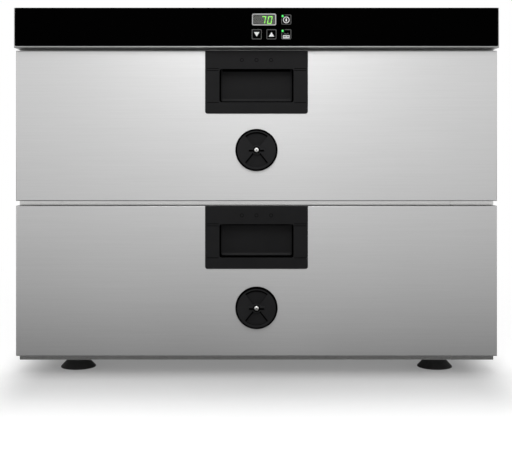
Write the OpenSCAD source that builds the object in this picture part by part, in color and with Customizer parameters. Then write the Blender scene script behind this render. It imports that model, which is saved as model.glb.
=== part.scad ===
// Countertop warming drawer: a heated steel cabinet with two insulated drawers on
// telescopic runners. Each drawer carries one catering pan.
// X runs to the right, Y to the back and Z up, in millimetres. The origin is on the
// floor, in the middle of the outer box. The front faces -Y.

/* [Cabinet] */
// Width of the cabinet, of the drawer fronts and of the fascia
cabinet_w = 690; // [676:1:760]
// Depth of the cabinet from its front frame to its rear panel
body_d = 484; // [450:1:560]
// Thickness of the cabinet sheet
sheet_t = 1; // [0.8:0.1:1.2]
// Width of the folded flanges inside the cabinet
flange_w = 15; // [12:1:20]
// Thickness of the insulation under the chamber
floor_insulation_t = 28; // [24:1:40]
// Space between the chamber and its insulation, for the heating cable
heater_gap = 6; // [5.5:0.5:10]
// Frame that shows below the lower drawer front
bottom_lip = 10; // [8:0.5:16]

/* [Fascia] */
// Height of the control fascia
fascia_h = 54.5; // [53:0.5:70]
// How far the face of the film stands ahead of the front frame
fascia_out = 36; // [32:1:50]
// Space between the upper drawer front and the fascia
top_gap = 5.5; // [4:0.5:9]
// How far the fascia hangs below the floor of the component tray
fascia_drop = 2.5; // [0:0.5:3]
// Radius of the fascia's folded edges
fascia_edge_r = 1.2; // [1.1:0.1:1.5]
// Thickness of the membrane film
film_t = 0.6; // [0.4:0.1:1]
// Steel that shows beside the film
film_side_inset = 1.4; // [0.5:0.1:4]
// Steel that shows below the film
film_bottom_inset = 2.2; // [0.4:0.1:3]
// Steel that shows above the film
film_top_inset = 0.3; // [0.2:0.1:3]
// Corner radius of the film
film_r = 2; // [1:0.5:4]

/* [Controls] */
// Place of the first key to the right of the middle
key_first_x = 0.3; // [-60:0.1:60]
// Distance from key to key
key_pitch = 21; // [18:0.5:26]
// Depth of the lower row of keys below the top of the fascia
key_low_drop = 38.1; // [36:0.1:42]
// Depth of the display and the power key below the top of the fascia
key_high_drop = 17.1; // [14:0.1:18]
// Size of a square key
key_size = 14.2; // [11:0.1:15]
// Corner radius of a key
key_r = 1.5; // [1:0.1:3]
// Travel of a key
key_travel = 0.6; // [0.3:0.1:0.8]
// Width of the display bezel
bezel_w = 34.4; // [32:0.1:36]
// Height of the display bezel
bezel_h = 16.8; // [14:0.1:18]
// Width of the bezel's rim
bezel_rim = 2; // [1.8:0.1:2.4]
// How far the bezel stands out of the film
bezel_proud = 0.5; // [0.3:0.1:1]
// Corner radius of the bezel
bezel_r = 2.4; // [1:0.1:3]
// Diameter of a status light
led_d = 3.8; // [3:0.1:4.2]
// How far a status light lies to the left of its key's middle
led_left = 5.2; // [5:0.1:5.6]
// How far a status light lies above its key's middle
led_up = 4.9; // [4.8:0.1:5.4]

/* [Drawer fronts] */
// Height of a drawer front
front_h = 215.5; // [213:0.5:240]
// Thickness of a drawer front
front_t = 20; // [20:0.5:30]
// Gap between the two drawer fronts
front_gap = 7; // [4:0.5:12]
// Radius of the folded edges of a front
front_edge_r = 1.2; // [1.1:0.1:2.5]
// Thickness of the sheet of a front
front_sheet_t = 1; // [0.8:0.1:1.2]
// Space between a closed front and the front frame
seal_space = 3; // [2.6:0.1:5]
// Width of the door seal
seal_w = 10; // [8:0.5:12]
// Distance of the seal from the edge of the front
seal_inset = 6; // [4:0.5:9]

/* [Handle] */
// Width of the handle plate
handle_w = 147.4; // [130:0.1:180]
// Height of the handle plate
handle_h = 90.4; // [89:0.1:96]
// Height of the band above the recess
handle_band = 26.5; // [24:0.1:28]
// Width of the recess
recess_w = 106; // [90:0.5:120]
// Height of the recess
recess_h = 47.6; // [44:0.1:50]
// Depth of the recess behind the face of the front
recess_depth = 15.5; // [12:0.5:16]
// Height of the finger room behind the band
finger_room = 14; // [8:0.5:16]
// How far the handle plate stands out of the front
handle_proud = 1.5; // [1.2:0.1:2.5]
// Wall of the handle cup
cup_wall = 2; // [1.5:0.1:2.4]
// Radius of the handle plate's lower corners
handle_r = 3.5; // [2:0.5:6]
// Radius of the recess corners
recess_r = 3; // [2:0.5:5]

/* [Steam vent] */
// Diameter of the vent knob
vent_knob_d = 60.5; // [56:0.5:64]
// How far the face of the knob stands out of the front
vent_proud = 6; // [5:0.1:8]
// Depth of the upper vent's middle below the top of its front
upper_vent_drop = 142.5; // [142:0.5:150]
// Depth of the lower vent's middle below the top of its front
lower_vent_drop = 146; // [142:0.5:150]
// Outer radius of the vent windows
window_r = 24.8; // [20:0.1:25]
// Inner radius of the vent windows
window_hub_r = 7.5; // [7:0.1:9]
// Half of the angle that a window spans
window_half_angle = 39; // [30:1:42]
// Diameter of the screw head in the knob
vent_screw_d = 7.5; // [7:0.1:9]

/* [Pans] */
// Width of a catering pan over its rim
pan_w = 530; // [500:1:540]
// Depth of a catering pan over its rim, from front to back
pan_d = 325; // [265:1:326]
// How much higher a drawer front is than the pan behind it
pan_room_h = 65.5; // [64:0.5:110]
// Width of the pan's rim
pan_rim = 12; // [10:0.5:15]
// Thickness of the pan's sheet
pan_t = 0.9; // [0.7:0.1:1.5]
// Radius of the pan's upright corners
pan_corner_r = 40; // [20:1:60]
// Radius between the pan's walls and its floor
pan_floor_r = 18; // [8:1:24]
// Air under the lower pan
pan_floor_gap = 8; // [6:1:14]

/* [Runners] */
// Length of a telescopic runner
runner_l = 400; // [390:1:420]
// Height of a runner
runner_h = 46; // [40:0.5:48]
// Thickness of a closed runner
runner_t = 12.7; // [12.3:0.1:14]
// Sheet of the runners
runner_sheet = 1.5; // [1.2:0.1:1.6]
// Running gap between the nested runner sections
runner_play = 0.35; // [0.3:0.05:0.5]
// Depth of the runner's middle below the pan rim
runner_drop = 60; // [52:1:62]
// Sheet of the pan frame
frame_t = 1.5; // [1.2:0.1:2]

/* [Feet] */
// Height of a foot, the free space under the cabinet
foot_h = 20; // [14:1:60]
// Height of the cone of a foot, under its straight neck
foot_cone_h = 10.5; // [8:0.5:13]
// Radius of the neck of a foot
foot_top_r = 17; // [14:0.5:20]
// Largest radius of a foot
foot_r = 26; // [24:0.5:32]
// Distance of the feet from the middle, to each side
foot_x = 268; // [240:1:290]
// Distance of the feet from the front frame and from the rear panel
foot_inset = 48; // [36:1:80]

/* [Rear and inside] */
// How far the cable gland stands out of the rear panel
gland_out = 20; // [14:1:30]
// Bore of the cable gland
gland_bore = 9; // [6:0.5:10]
// Place of the cable gland, to the left of the middle
gland_x = -240; // [-260:1:-200]
// Diameter of the earth stud's thread
stud_d = 6; // [5:0.5:8]
// Diameter of the heating cable
cable_d = 4; // [3:0.1:4.5]
// Number of passes of the heating cable round the chamber
cable_passes = 8; // [4:2:8]

/* [Hidden] */
$fn = 48;

// Clearances
fit = 0.3;        // between pieces that move past each other
slip = 0.2;       // between pieces that are only put together
eps = 0.01;       // by which a cutter runs past the face it cuts

// Heights
lower_z = foot_h + bottom_lip;
upper_z = lower_z + front_h + front_gap;
fascia_z = upper_z + front_h + top_gap;
fascia_low = fascia_z - fascia_drop;
cabinet_top = fascia_z + fascia_h;
chamber_floor = foot_h + 2 * sheet_t + floor_insulation_t + heater_gap;
rail_lap = 1.5;   // frame that shows past the seal
chamber_roof = upper_z + front_h - seal_inset - seal_w - rail_lap;
mid_rail_lo = lower_z + front_h - seal_inset - seal_w - rail_lap;
mid_rail_hi = upper_z + seal_inset + seal_w + rail_lap;
pan_lift = chamber_floor + pan_floor_gap - lower_z;

// Depths, from the front to the back
total_d = bezel_proud + fascia_out + body_d + gland_out;
y_front = -total_d / 2;
y_film = y_front + bezel_proud;
y_fascia_in = y_film + film_t + sheet_t;
y_frame = y_film + fascia_out;
y_rear = y_frame + body_d;
y_back = y_frame - seal_space;
y_face = y_back - front_t;

// Widths, from the pan to the outside
half_w = cabinet_w / 2;
pan_side_gap = 3.8;
pan_h = front_h - pan_room_h;
plate_x = pan_w / 2 + pan_side_gap;
runner_x = plate_x + frame_t;
chamber_x = runner_x + runner_t;
slab_x = chamber_x + sheet_t + heater_gap;

// Chamber and runners, from the front to the back
runner_y = y_frame + 5;  // front end of the runners
runner_end_space = 10; // behind a closed runner
chamber_y = y_frame + sheet_t;
chamber_back = runner_y + runner_l + runner_end_space;
runner_zone = runner_h / 2;
runner_screw_y = [50, 200, 350]; // behind the front end of a runner
pan_setback = 36;
pan_y = y_frame + pan_setback;    // front edge of the pan's rim
frame_end_space = 8;
frame_back = runner_y + runner_l - frame_end_space;

// Handle, below the top of its front
cup_top = handle_band - finger_room;
cup_bottom = handle_band + recess_h;
handle_edge_r = 1.1;
grip_t = 2;       // of the band, behind the face of the front
cup_back = recess_depth + cup_wall;
boss_r = 5;       // of the screw bosses behind the cup
boss_x = 35;
boss_drop = 50;

// Vent, forward of the face of the front
vent_tube_r = 26;
vent_tube_t = 1.5;
knob_plate_t = 2; // of the knob's front, which the windows go through
vent_flange_t = vent_proud - knob_plate_t - fit;
vent_flange_r = vent_tube_r + 2;
vent_axle_r = 2.7;
vent_pilot_r = 1.3;
knob_rise = 0.8;  // of the hub and its wings over the face of the knob
hub_r = 6.4;
wing_l = 12;
wing_h = 4.6;
knob_edge_r = 1;

// Fasteners
screw_r = 2;
screw_head_r = 3.9;
screw_head_h = 2.2;
front_screw_x = 225;
front_screw_zs = [46, 76]; // below the pan rim

// Controls
key_x = [key_first_x, key_first_x + key_pitch, key_first_x + 2 * key_pitch];
key_low_z = cabinet_top - key_low_drop;
key_high_z = cabinet_top - key_high_drop;
display_x = key_first_x + key_pitch / 2;
key_flange_t = 1;
key_flange_over = 1;
key_back = y_fascia_in + fit + key_flange_t;
board_y = y_fascia_in + 9;
board_t = 1.6;
board_w = 92;
board_h = 42;
board_x = key_x[1];
switch_h = board_y - key_back - 2;
lens_t = 2;
neck_back = y_fascia_in + 1.5;

// Inside the service bay
tray_top = fascia_z + sheet_t;
gland_z = tray_top + 24;
terminal_setback = 70;
terminal_y = y_rear - terminal_setback;
terminal_l = 56;
terminal_d = 20;
terminal_h = 30;
relay_w = 30;
relay_d = 28;
relay_left = 60;
relay_x = board_x - relay_left;
relay_setback = 90;
relay_y = y_frame + relay_setback;
plug_left = 30;
plug_x = board_x - plug_left;
plug_t = 10;
plug_w = 26;
plug_pins = [6, 18]; // of the relay's lead and of the probe's lead
probe_x = 190;
probe_r = 3;
probe_z = (mid_rail_lo + mid_rail_hi) / 2;
probe_tail = 5;
probe_lead_y = chamber_back + sheet_t + heater_gap / 2;
cable_rise = tray_top + 12;
cable_r = cable_d / 2;
cable_x = chamber_x + sheet_t + fit + cable_r;
cable_z = chamber_floor - sheet_t - fit - cable_r;
cable_margin = 50; // of the runners' length that the cable's first and last pass leave free
cable_pitch = (runner_l - cable_margin) / (cable_passes - 1);
cable_setback = 28;
cable_y = y_frame + cable_setback;
cable_bend = 9;
chamber_r = cable_bend - cable_r - fit;
cable_loop_drop = 40;
cable_loop_z = chamber_roof - cable_loop_drop;

// ---- shared shapes ----

// A block between two opposite corners
module block(a, b) translate(a) cube(b - a);

// An outline in X and Z, standing at y and running back by t
module upright(y, t) translate([0, y + t, 0]) rotate([90, 0, 0]) linear_extrude(t) children();

// An outline in Y and Z, starting at x and running right by l
module crosswise(x, l) translate([x, 0, 0]) rotate([90, 0, 90]) linear_extrude(l) children();

// A round bar from y, running back
module bar_y(x, y, z, r, l) translate([x, y, z]) rotate([-90, 0, 0]) cylinder(r = r, h = l);

// A round bar from x, running right
module bar_x(x, y, z, r, l) translate([x, y, z]) rotate([0, 90, 0]) cylinder(r = r, h = l);

// A rectangle between two corners, with round corners
module round_rect(a, b, r) {
    translate([a[0] + r, a[1]]) square([b[0] - a[0] - 2 * r, b[1] - a[1]]);
    translate([a[0], a[1] + r]) square([b[0] - a[0], b[1] - a[1] - 2 * r]);
    for (x = [a[0] + r, b[0] - r], y = [a[1] + r, b[1] - r]) translate([x, y]) circle(r);
}

// A rectangle round a middle, with round corners
module round_box(w, h, r) round_rect([-w / 2, -h / 2], [w / 2, h / 2], r);

// A rectangle between two corners, with round corners on its first side only
module round_start(a, b, r) {
    translate([a[0] + r, a[1]]) square([b[0] - a[0] - r, b[1] - a[1]]);
    translate([a[0], a[1] + r]) square([b[0] - a[0], b[1] - a[1] - 2 * r]);
    for (y = [a[1] + r, b[1] - r]) translate([a[0] + r, y]) circle(r);
}

// A block whose four front edges are folded round
module folded_block(hw, y0, y1, z0, z1, r) {
    intersection() {
        crosswise(-hw, 2 * hw) round_start([y0, z0], [y1, z1], r);
        translate([0, 0, z0]) linear_extrude(z1 - z0)
            rotate(90) round_start([y0, -hw], [y1, hw], r);
    }
}

// A round tube of radius r through points joined at right angles, with bends of radius bend
module bent_rod(points, r, bend) {
    last = len(points) - 1;
    for (i = [0 : last - 1]) {
        step = points[i + 1] - points[i];
        way = step / norm(step);
        from = points[i] + (i == 0 ? 0 : bend) * way;
        to = points[i + 1] - (i + 1 == last ? 0 : bend) * way;
        rod_between(from, to, r);
    }
    for (i = [1 : last - 1]) {
        come = (points[i] - points[i - 1]) / norm(points[i] - points[i - 1]);
        leave = (points[i + 1] - points[i]) / norm(points[i + 1] - points[i]);
        turn_at(points[i] + bend * (leave - come), -leave, come, r, bend, 90);
    }
}

// A straight round rod between two points that differ along one axis only
module rod_between(a, b, r) {
    d = b - a;
    turn = abs(d[0]) > 0 ? [0, 90, 0] : abs(d[1]) > 0 ? [-90, 0, 0] : [0, 0, 0];
    translate([min(a[0], b[0]), min(a[1], b[1]), min(a[2], b[2])])
        rotate(turn) cylinder(r = r, h = norm(d));
}

// A bend round the point c, from direction u to direction v
module turn_at(c, u, v, r, bend, angle) {
    w = cross(u, v);
    multmatrix([
        [u[0], v[0], w[0], c[0]],
        [u[1], v[1], w[1], c[1]],
        [u[2], v[2], w[2], c[2]],
        [0, 0, 0, 1]
    ]) rotate_extrude(angle = angle) translate([bend, 0]) circle(r);
}

// ---- cabinet ----

// The right side panel: outer sheet, front stile and folded flanges
module side_panel() {
    color("lightgray") difference() {
        union() {
            block([half_w - sheet_t, y_frame, foot_h], [half_w, y_rear, cabinet_top]);
            block([chamber_x, y_frame, foot_h], [half_w, chamber_y, cabinet_top - sheet_t]);
            block([half_w - flange_w, y_frame, foot_h + sheet_t],
                [half_w, y_rear - sheet_t, foot_h + 2 * sheet_t]);
            block([half_w - flange_w, y_frame, cabinet_top - 2 * sheet_t],
                [half_w, y_rear - sheet_t, cabinet_top - sheet_t]);
            block([half_w - flange_w, y_rear - 2 * sheet_t, foot_h + sheet_t],
                [half_w, y_rear - sheet_t, cabinet_top - sheet_t]);
        }
        for (z = rear_screw_side_z)
            bar_y(rear_screw_x, y_rear - 2 * sheet_t - eps, z, screw_r + slip, 2 * sheet_t);
    }
}

// Screws that hold the rear panel to the side panels, the top panel and the base
rear_screw_x = half_w - flange_w / 2;
rear_screw_margin = 60;  // from the floor and the top of the cabinet to the outer screws
rear_screw_step = (cabinet_top - foot_h) / 2 - rear_screw_margin;
rear_screw_side_z = [for (k = [0 : 2]) foot_h + rear_screw_margin + k * rear_screw_step];
rear_screw_row_x = [-180, 0, 180];
rear_screw_tip = 5;
rear_screw_row_z = [foot_h + sheet_t + flange_w / 2, cabinet_top - sheet_t - flange_w / 2];

module top_panel() {
    edge = half_w - sheet_t - slip;
    color("lightgray") difference() {
        union() {
            block([-edge, y_frame, cabinet_top - sheet_t],
                [edge, y_rear - sheet_t - slip, cabinet_top]);
            block([flange_w - half_w + slip, y_rear - 2 * sheet_t - slip, cabinet_top - flange_w],
                [half_w - flange_w - slip, y_rear - sheet_t - slip, cabinet_top]);
        }
        for (x = rear_screw_row_x)
            bar_y(x, y_rear - 3 * sheet_t, rear_screw_row_z[1], screw_r + slip, 3 * sheet_t);
    }
}

module base_panel() {
    edge = half_w - sheet_t - slip;
    color("lightgray") difference() {
        union() {
            block([-edge, chamber_y + slip, foot_h], [edge, y_rear - sheet_t - slip, foot_h + sheet_t]);
            block([flange_w - half_w + slip, y_rear - 2 * sheet_t - slip, foot_h],
                [half_w - flange_w - slip, y_rear - sheet_t - slip, foot_h + flange_w]);
        }
        for (x = rear_screw_row_x)
            bar_y(x, y_rear - 3 * sheet_t, rear_screw_row_z[0], screw_r + slip, 3 * sheet_t);
        for (x = foot_xs, y = foot_ys)
            translate([x, y, foot_h - eps]) cylinder(r = foot_bolt_r + slip, h = 2 * sheet_t);
    }
}

louvre_l = 60;
louvre_h = 3;
louvre_step = 8;
louvre_x = [-90, 90, 250];
louvre_z = [for (k = [0 : 2]) gland_z - 10 + k * louvre_step];
stud_left = 45;
stud_x = gland_x - stud_left;
gland_thread_r = gland_bore / 2 + 3.5;

module rear_panel() {
    edge = half_w - sheet_t - slip;
    color("lightgray") difference() {
        block([-edge, y_rear - sheet_t, foot_h], [edge, y_rear, cabinet_top]);
        for (s = [-1, 1], z = rear_screw_side_z)
            bar_y(s * rear_screw_x, y_rear - 2 * sheet_t, z, screw_r + slip, 3 * sheet_t);
        for (x = rear_screw_row_x, z = rear_screw_row_z)
            bar_y(x, y_rear - 2 * sheet_t, z, screw_r + slip, 3 * sheet_t);
        for (x = louvre_x, z = louvre_z)
            upright(y_rear - 2 * sheet_t, 3 * sheet_t)
                translate([x, z]) round_box(louvre_l, louvre_h, louvre_h / 2 - eps);
        bar_y(gland_x, y_rear - 2 * sheet_t, gland_z, gland_thread_r + slip, 3 * sheet_t);
        bar_y(stud_x, y_rear - 2 * sheet_t, gland_z, stud_d / 2 + slip, 3 * sheet_t);
    }
}

// The three rails between the side panels' stiles
module front_frame() {
    edge = chamber_x - slip;
    color("lightgray") {
        block([-edge, y_frame, foot_h], [edge, chamber_y, chamber_floor]);
        block([-edge, chamber_y, foot_h + sheet_t + slip],
            [edge, chamber_y + flange_w, foot_h + 2 * sheet_t + slip]);
        difference() {
            block([-edge, y_frame, mid_rail_lo], [edge, chamber_y + flange_w, mid_rail_hi]);
            block([-edge - eps, chamber_y, mid_rail_lo + sheet_t],
                [edge + eps, chamber_y + flange_w + eps, mid_rail_hi - sheet_t]);
        }
        block([-edge, y_frame, chamber_roof], [edge, chamber_y, fascia_z]);
        block([-edge, chamber_y, fascia_z - sheet_t], [edge, chamber_y + flange_w, fascia_z]);
    }
}

// The inner box that the drawers run in
module heated_chamber() {
    color("gainsboro") difference() {
        upright(chamber_y, chamber_back + sheet_t - chamber_y)
            round_rect([-chamber_x - sheet_t, chamber_floor - sheet_t],
                [chamber_x + sheet_t, chamber_roof + sheet_t], chamber_r);
        upright(chamber_y - eps, chamber_back - chamber_y + eps)
            round_rect([-chamber_x, chamber_floor], [chamber_x, chamber_roof], chamber_r - sheet_t);
        for (s = [-1, 1], z0 = [lower_z, upper_z], y = runner_screw_y)
            bar_x(s * (chamber_x + sheet_t / 2) - 2 * sheet_t, runner_y + y, runner_z(z0),
                screw_r + slip, 4 * sheet_t);
        bar_y(probe_x, chamber_back - sheet_t, probe_z, probe_r + slip, 3 * sheet_t);
    }
}

// Height of a drawer's runners
function runner_z(z0) = z0 + pan_lift + pan_h - runner_drop;
// Height of the underside of a pan's rim
function rim_z(z0) = z0 + pan_lift + pan_h - pan_t;

probe_l = 40;
probe_nut_r = 6;
thermostat_r = 9;
thermostat_h = 10;
thermostat_x = -120;
thermostat_setback = 230;
thermostat_y = y_frame + thermostat_setback;

// Slabs at both sides, below, behind and above the chamber
module insulation_slabs() {
    soft = 0.5;
    top = fascia_z - sheet_t - soft;
    y0 = chamber_y + flange_w + soft;
    y1 = y_rear - 2 * sheet_t - rear_screw_tip - soft;
    back = chamber_back + sheet_t + heater_gap;
    color("khaki") {
        for (s = [0, 1]) mirror([s, 0, 0])
            block([slab_x, chamber_y + soft, foot_h + 2 * sheet_t + soft],
                [half_w - sheet_t - soft, y1, top]);
        difference() {
            union() {
                block([soft - slab_x, y0, foot_h + sheet_t],
                    [slab_x - soft, back - soft, foot_h + sheet_t + floor_insulation_t]);
                block([soft - slab_x, back, foot_h + sheet_t], [slab_x - soft, y1, top]);
            }
            for (x = foot_xs, y = foot_ys)
                translate([x, y, foot_h]) cylinder(r = foot_nut_r + 2, h = foot_bolt_tip + 2);
        }
        difference() {
            block([-chamber_x, y0, chamber_roof + sheet_t], [chamber_x, chamber_back, top]);
            translate([thermostat_x, thermostat_y, chamber_roof])
                cylinder(r = 2 * thermostat_r, h = top);
        }
    }
}

// A cable that winds round the sides and the floor of the chamber, with both ends in the bay
module heating_cable() {
    last = cable_passes - 1;
    color("firebrick") {
        for (k = [0 : last]) {
            y = cable_y + k * cable_pitch;
            outer = k == 0 || k == last;
            left_top = outer ? cable_rise : cable_loop_z;
            for (s = [-1, 1])
                rod_between([s * cable_x, y, cable_z + cable_bend],
                    [s * cable_x, y, s < 0 ? left_top : cable_loop_z], cable_r);
            rod_between([cable_bend - cable_x, y, cable_z], [cable_x - cable_bend, y, cable_z], cable_r);
            turn_at([cable_bend - cable_x, y, cable_z + cable_bend], [-1, 0, 0], [0, 0, -1],
                cable_r, cable_bend, 90);
            turn_at([cable_x - cable_bend, y, cable_z + cable_bend], [0, 0, -1], [1, 0, 0],
                cable_r, cable_bend, 90);
        }
        for (k = [0 : last - 1]) {
            s = k % 2 == 0 ? 1 : -1;
            y = cable_y + (k + 0.5) * cable_pitch;
            turn_at([s * cable_x, y, cable_loop_z], [0, -1, 0], [0, 0, 1], cable_r, cable_pitch / 2, 180);
        }
    }
}

module temperature_probe() {
    nut_t = 2.5;
    color("silver") {
        bar_y(probe_x, chamber_back - probe_l, probe_z, probe_r, probe_l + probe_tail);
        bar_y(probe_x, chamber_back - nut_t, probe_z, probe_nut_r, nut_t);
    }
}

// A disc thermostat on a small strip, with two blades on top
module safety_thermostat() {
    strip = [30, 10, 1];
    blade = [0.8, 6, 6];
    blade_x = 4;
    color("dimgray") translate([thermostat_x, thermostat_y, chamber_roof + sheet_t]) {
        cylinder(r = thermostat_r, h = thermostat_h);
        translate([-strip[0] / 2, -strip[1] / 2, 0]) cube(strip);
        for (s = [-1, 1])
            translate([s * blade_x - blade[0] / 2, -blade[1] / 2, thermostat_h]) cube(blade);
    }
}

module component_tray() {
    edge = half_w - sheet_t - slip;
    lip = 10;
    color("silver") difference() {
        union() {
            block([-edge, chamber_y + slip, fascia_z], [edge, y_rear - 2 * sheet_t - 2 * slip, tray_top]);
            for (s = [0, 1]) mirror([s, 0, 0])
                block([edge - sheet_t, chamber_y + slip, fascia_z],
                    [edge, y_rear - 2 * sheet_t - 2 * slip, tray_top + lip]);
        }
        for (y = [cable_y, cable_y + (cable_passes - 1) * cable_pitch])
            translate([-cable_x, y, fascia_z - sheet_t]) cylinder(r = cable_r + 1, h = 3 * sheet_t);
        translate([probe_x, probe_lead_y, fascia_z - sheet_t]) cylinder(r = probe_r, h = 3 * sheet_t);
    }
}

// ---- fascia and controls ----

// The outline of a key, or of its cut-out when grown by a gap
module key_outline(grow, notched) {
    difference() {
        round_box(key_size + 2 * grow, key_size + 2 * grow, key_r + grow);
        if (notched) translate([-led_left, led_up]) circle(led_d / 2 + notch_room - grow);
    }
}
notch_room = 1; // round a status light, in the corner of its key

// Every cut-out in the fascia for keys, lights and the display
module control_cutouts(gap) {
    for (x = [key_x[0], key_x[1]]) translate([x, key_low_z]) key_outline(gap, false);
    for (z = [key_high_z, key_low_z]) {
        translate([key_x[2], z]) key_outline(gap, true);
        translate([key_x[2] - led_left, z + led_up]) circle(led_d / 2 + slip);
    }
    translate([display_x, key_high_z])
        round_box(bezel_w - bezel_rim + gap, bezel_h - bezel_rim + gap, bezel_r / 2);
}

post_r = 2.5;
post_inset = 4;
post_x = [board_x - board_w / 2 + post_inset, board_x + board_w / 2 - post_inset];
post_z = [for (s = [-1, 1]) cabinet_top - fascia_h / 2 + s * (board_h / 2 - post_inset)];

module control_fascia() {
    y0 = y_film + film_t;
    lip = 10;
    color("silver") {
        difference() {
            folded_block(half_w, y0, y_frame, fascia_low, cabinet_top, fascia_edge_r);
            block([sheet_t - half_w, y_fascia_in, fascia_low + sheet_t],
                [half_w - sheet_t, y_frame - sheet_t, cabinet_top - sheet_t]);
            block([sheet_t + lip - half_w, y_fascia_in, fascia_z + sheet_t + lip / 2],
                [half_w - sheet_t - lip, y_frame + eps, cabinet_top - sheet_t - lip / 2]);
            upright(y0 - eps, 2 * sheet_t) control_cutouts(fit);
        }
        for (x = post_x, z = post_z) bar_y(x, y_fascia_in, z, post_r, board_y - y_fascia_in);
    }
}

module membrane_overlay() {
    color([0.03, 0.03, 0.03]) upright(y_film, film_t) difference() {
        round_rect([film_side_inset - half_w, fascia_low + film_bottom_inset],
            [half_w - film_side_inset, cabinet_top - film_top_inset], film_r);
        control_cutouts(fit);
    }
}

module display_bezel() {
    color("darkgray") translate([display_x, 0, key_high_z]) difference() {
        union() {
            upright(y_front, bezel_proud) round_box(bezel_w, bezel_h, bezel_r);
            upright(y_film, neck_back - y_film)
                round_box(bezel_w - bezel_rim, bezel_h - bezel_rim, bezel_r / 2);
        }
        upright(y_front - eps, total_d)
            round_box(bezel_w - 2 * bezel_rim, bezel_h - 2 * bezel_rim, bezel_r / 4);
    }
}

module display_window() {
    color([0.3, 0.32, 0.3]) translate([display_x, 0, key_high_z])
        upright(y_film, lens_t)
            round_box(bezel_w - 2 * bezel_rim - 2 * slip, bezel_h - 2 * bezel_rim - 2 * slip, bezel_r / 4);
}

// The two-digit light module on the board
module display_module() {
    color([0.2, 0.2, 0.2]) translate([display_x, 0, key_high_z])
        upright(y_film + lens_t + slip, board_y - y_film - lens_t - slip)
            square([bezel_w - 2 * bezel_rim - 4 * slip, bezel_h - 2 * bezel_rim - 4 * slip], center = true);
}

module status_leds() {
    color("lime") for (z = [key_high_z, key_low_z])
        bar_y(key_x[2] - led_left, y_film, z + led_up, led_d / 2, board_y - y_film);
}

// The board that carries the display, the lights and a switch behind each key
module control_board() {
    middle_z = cabinet_top - fascia_h / 2;
    back = board_y + board_t;
    switch = 3;        // half the width of a switch
    plug_h = 12;       // half the height of the plug socket
    capacitor_r = 6;
    capacitor_l = 12;
    capacitor_x = board_x + 20;
    color("darkgreen") {
        block([board_x - board_w / 2, board_y, middle_z - board_h / 2],
            [board_x + board_w / 2, back, middle_z + board_h / 2]);
        for (p = key_places)
            block([p[0] - switch, board_y - switch_h, p[1] - switch],
                [p[0] + switch, board_y, p[1] + switch]);
        block([plug_x, back, middle_z - plug_h], [plug_x + plug_w, back + plug_t, middle_z + plug_h]);
        bar_y(capacitor_x, back, middle_z, capacitor_r, capacitor_l);
    }
}

key_places = [
    [key_x[0], key_low_z], [key_x[1], key_low_z], [key_x[2], key_high_z], [key_x[2], key_low_z]
];

// A key: its cap, the flange that keeps it in, and the stem that presses the switch
module key(place, notched) {
    stem_back = board_y - switch_h - key_travel - 0.1;
    color([0.05, 0.05, 0.05]) translate([place[0], 0, place[1]]) {
        upright(y_film, key_back - y_film) key_outline(0, notched);
        upright(y_fascia_in + fit, key_flange_t) difference() {
            round_box(key_size + 2 * key_flange_over, key_size + 2 * key_flange_over, key_r);
            if (notched) translate([-led_left, led_up])
                circle(led_d / 2 + notch_room + key_flange_over);
        }
        bar_y(0, key_back, 0, 2, stem_back - key_back);
    }
}

// ---- service bay ----

module power_relay() {
    h = 22;
    tag = [1, 6, 8];
    tag_x = 4;
    tag_y = 12;
    tag_step = 7;
    color([0.12, 0.12, 0.14]) translate([relay_x, relay_y, tray_top]) {
        cube([relay_w, relay_d, h]);
        for (k = [0 : 3]) translate([tag_x + k * tag_step, tag_y, h]) cube(tag);
    }
}

// A block with five screw holes in its top
module terminal_block() {
    hole_r = 3;
    hole_step = 10;
    hole_depth = 3;
    color("whitesmoke") difference() {
        block([gland_x - terminal_l / 2, terminal_y, tray_top],
            [gland_x + terminal_l / 2, terminal_y + terminal_d, tray_top + terminal_h]);
        for (k = [-2 : 2]) translate([gland_x + k * hole_step, terminal_y + terminal_d / 2, tray_top])
            translate([0, 0, terminal_h - hole_depth]) cylinder(r = hole_r, h = 2 * hole_depth);
    }
}

// Leads between the heating cable, the probe, the terminals, the relay and the board
module wiring_loom() {
    lead_r = 1.5;
    bend = 5;
    high = cable_rise + 13; // run of the lead from the front end of the cable
    low = cable_rise + 6;   // run of the lead from the rear end
    terminal_step = 20;
    y_first = cable_y;
    y_last = cable_y + (cable_passes - 1) * cable_pitch;
    y_plug = board_y + board_t + plug_t;
    y_cross = relay_y - 30;
    x_relay = relay_x + relay_w / 2;
    mains_lead_z = tray_top + 8;
    relay_lead_z = tray_top + 18;
    probe_lead_z = tray_top + 24;
    color("saddlebrown") {
        bent_rod([[-cable_x, y_first, cable_rise], [-cable_x, y_first, high],
            [gland_x - terminal_step, y_first, high],
            [gland_x - terminal_step, terminal_y, high]], lead_r, bend);
        bent_rod([[-cable_x, y_last, cable_rise], [-cable_x, y_last, low],
            [gland_x, y_last, low], [gland_x, terminal_y, low]], lead_r, bend);
        bent_rod([[gland_x + terminal_l / 2, terminal_y + terminal_d / 2, mains_lead_z],
            [x_relay, terminal_y + terminal_d / 2, mains_lead_z],
            [x_relay, relay_y + relay_d, mains_lead_z]], lead_r, bend);
        bent_rod([[x_relay, relay_y, relay_lead_z], [x_relay, y_cross, relay_lead_z],
            [plug_x + plug_pins[0], y_cross, relay_lead_z],
            [plug_x + plug_pins[0], y_plug, relay_lead_z]], lead_r, bend);
        bent_rod([[probe_x, probe_lead_y, probe_z + probe_r], [probe_x, probe_lead_y, probe_lead_z],
            [plug_x + plug_pins[1], probe_lead_y, probe_lead_z],
            [plug_x + plug_pins[1], y_plug, probe_lead_z]], lead_r, bend);
    }
}

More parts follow.
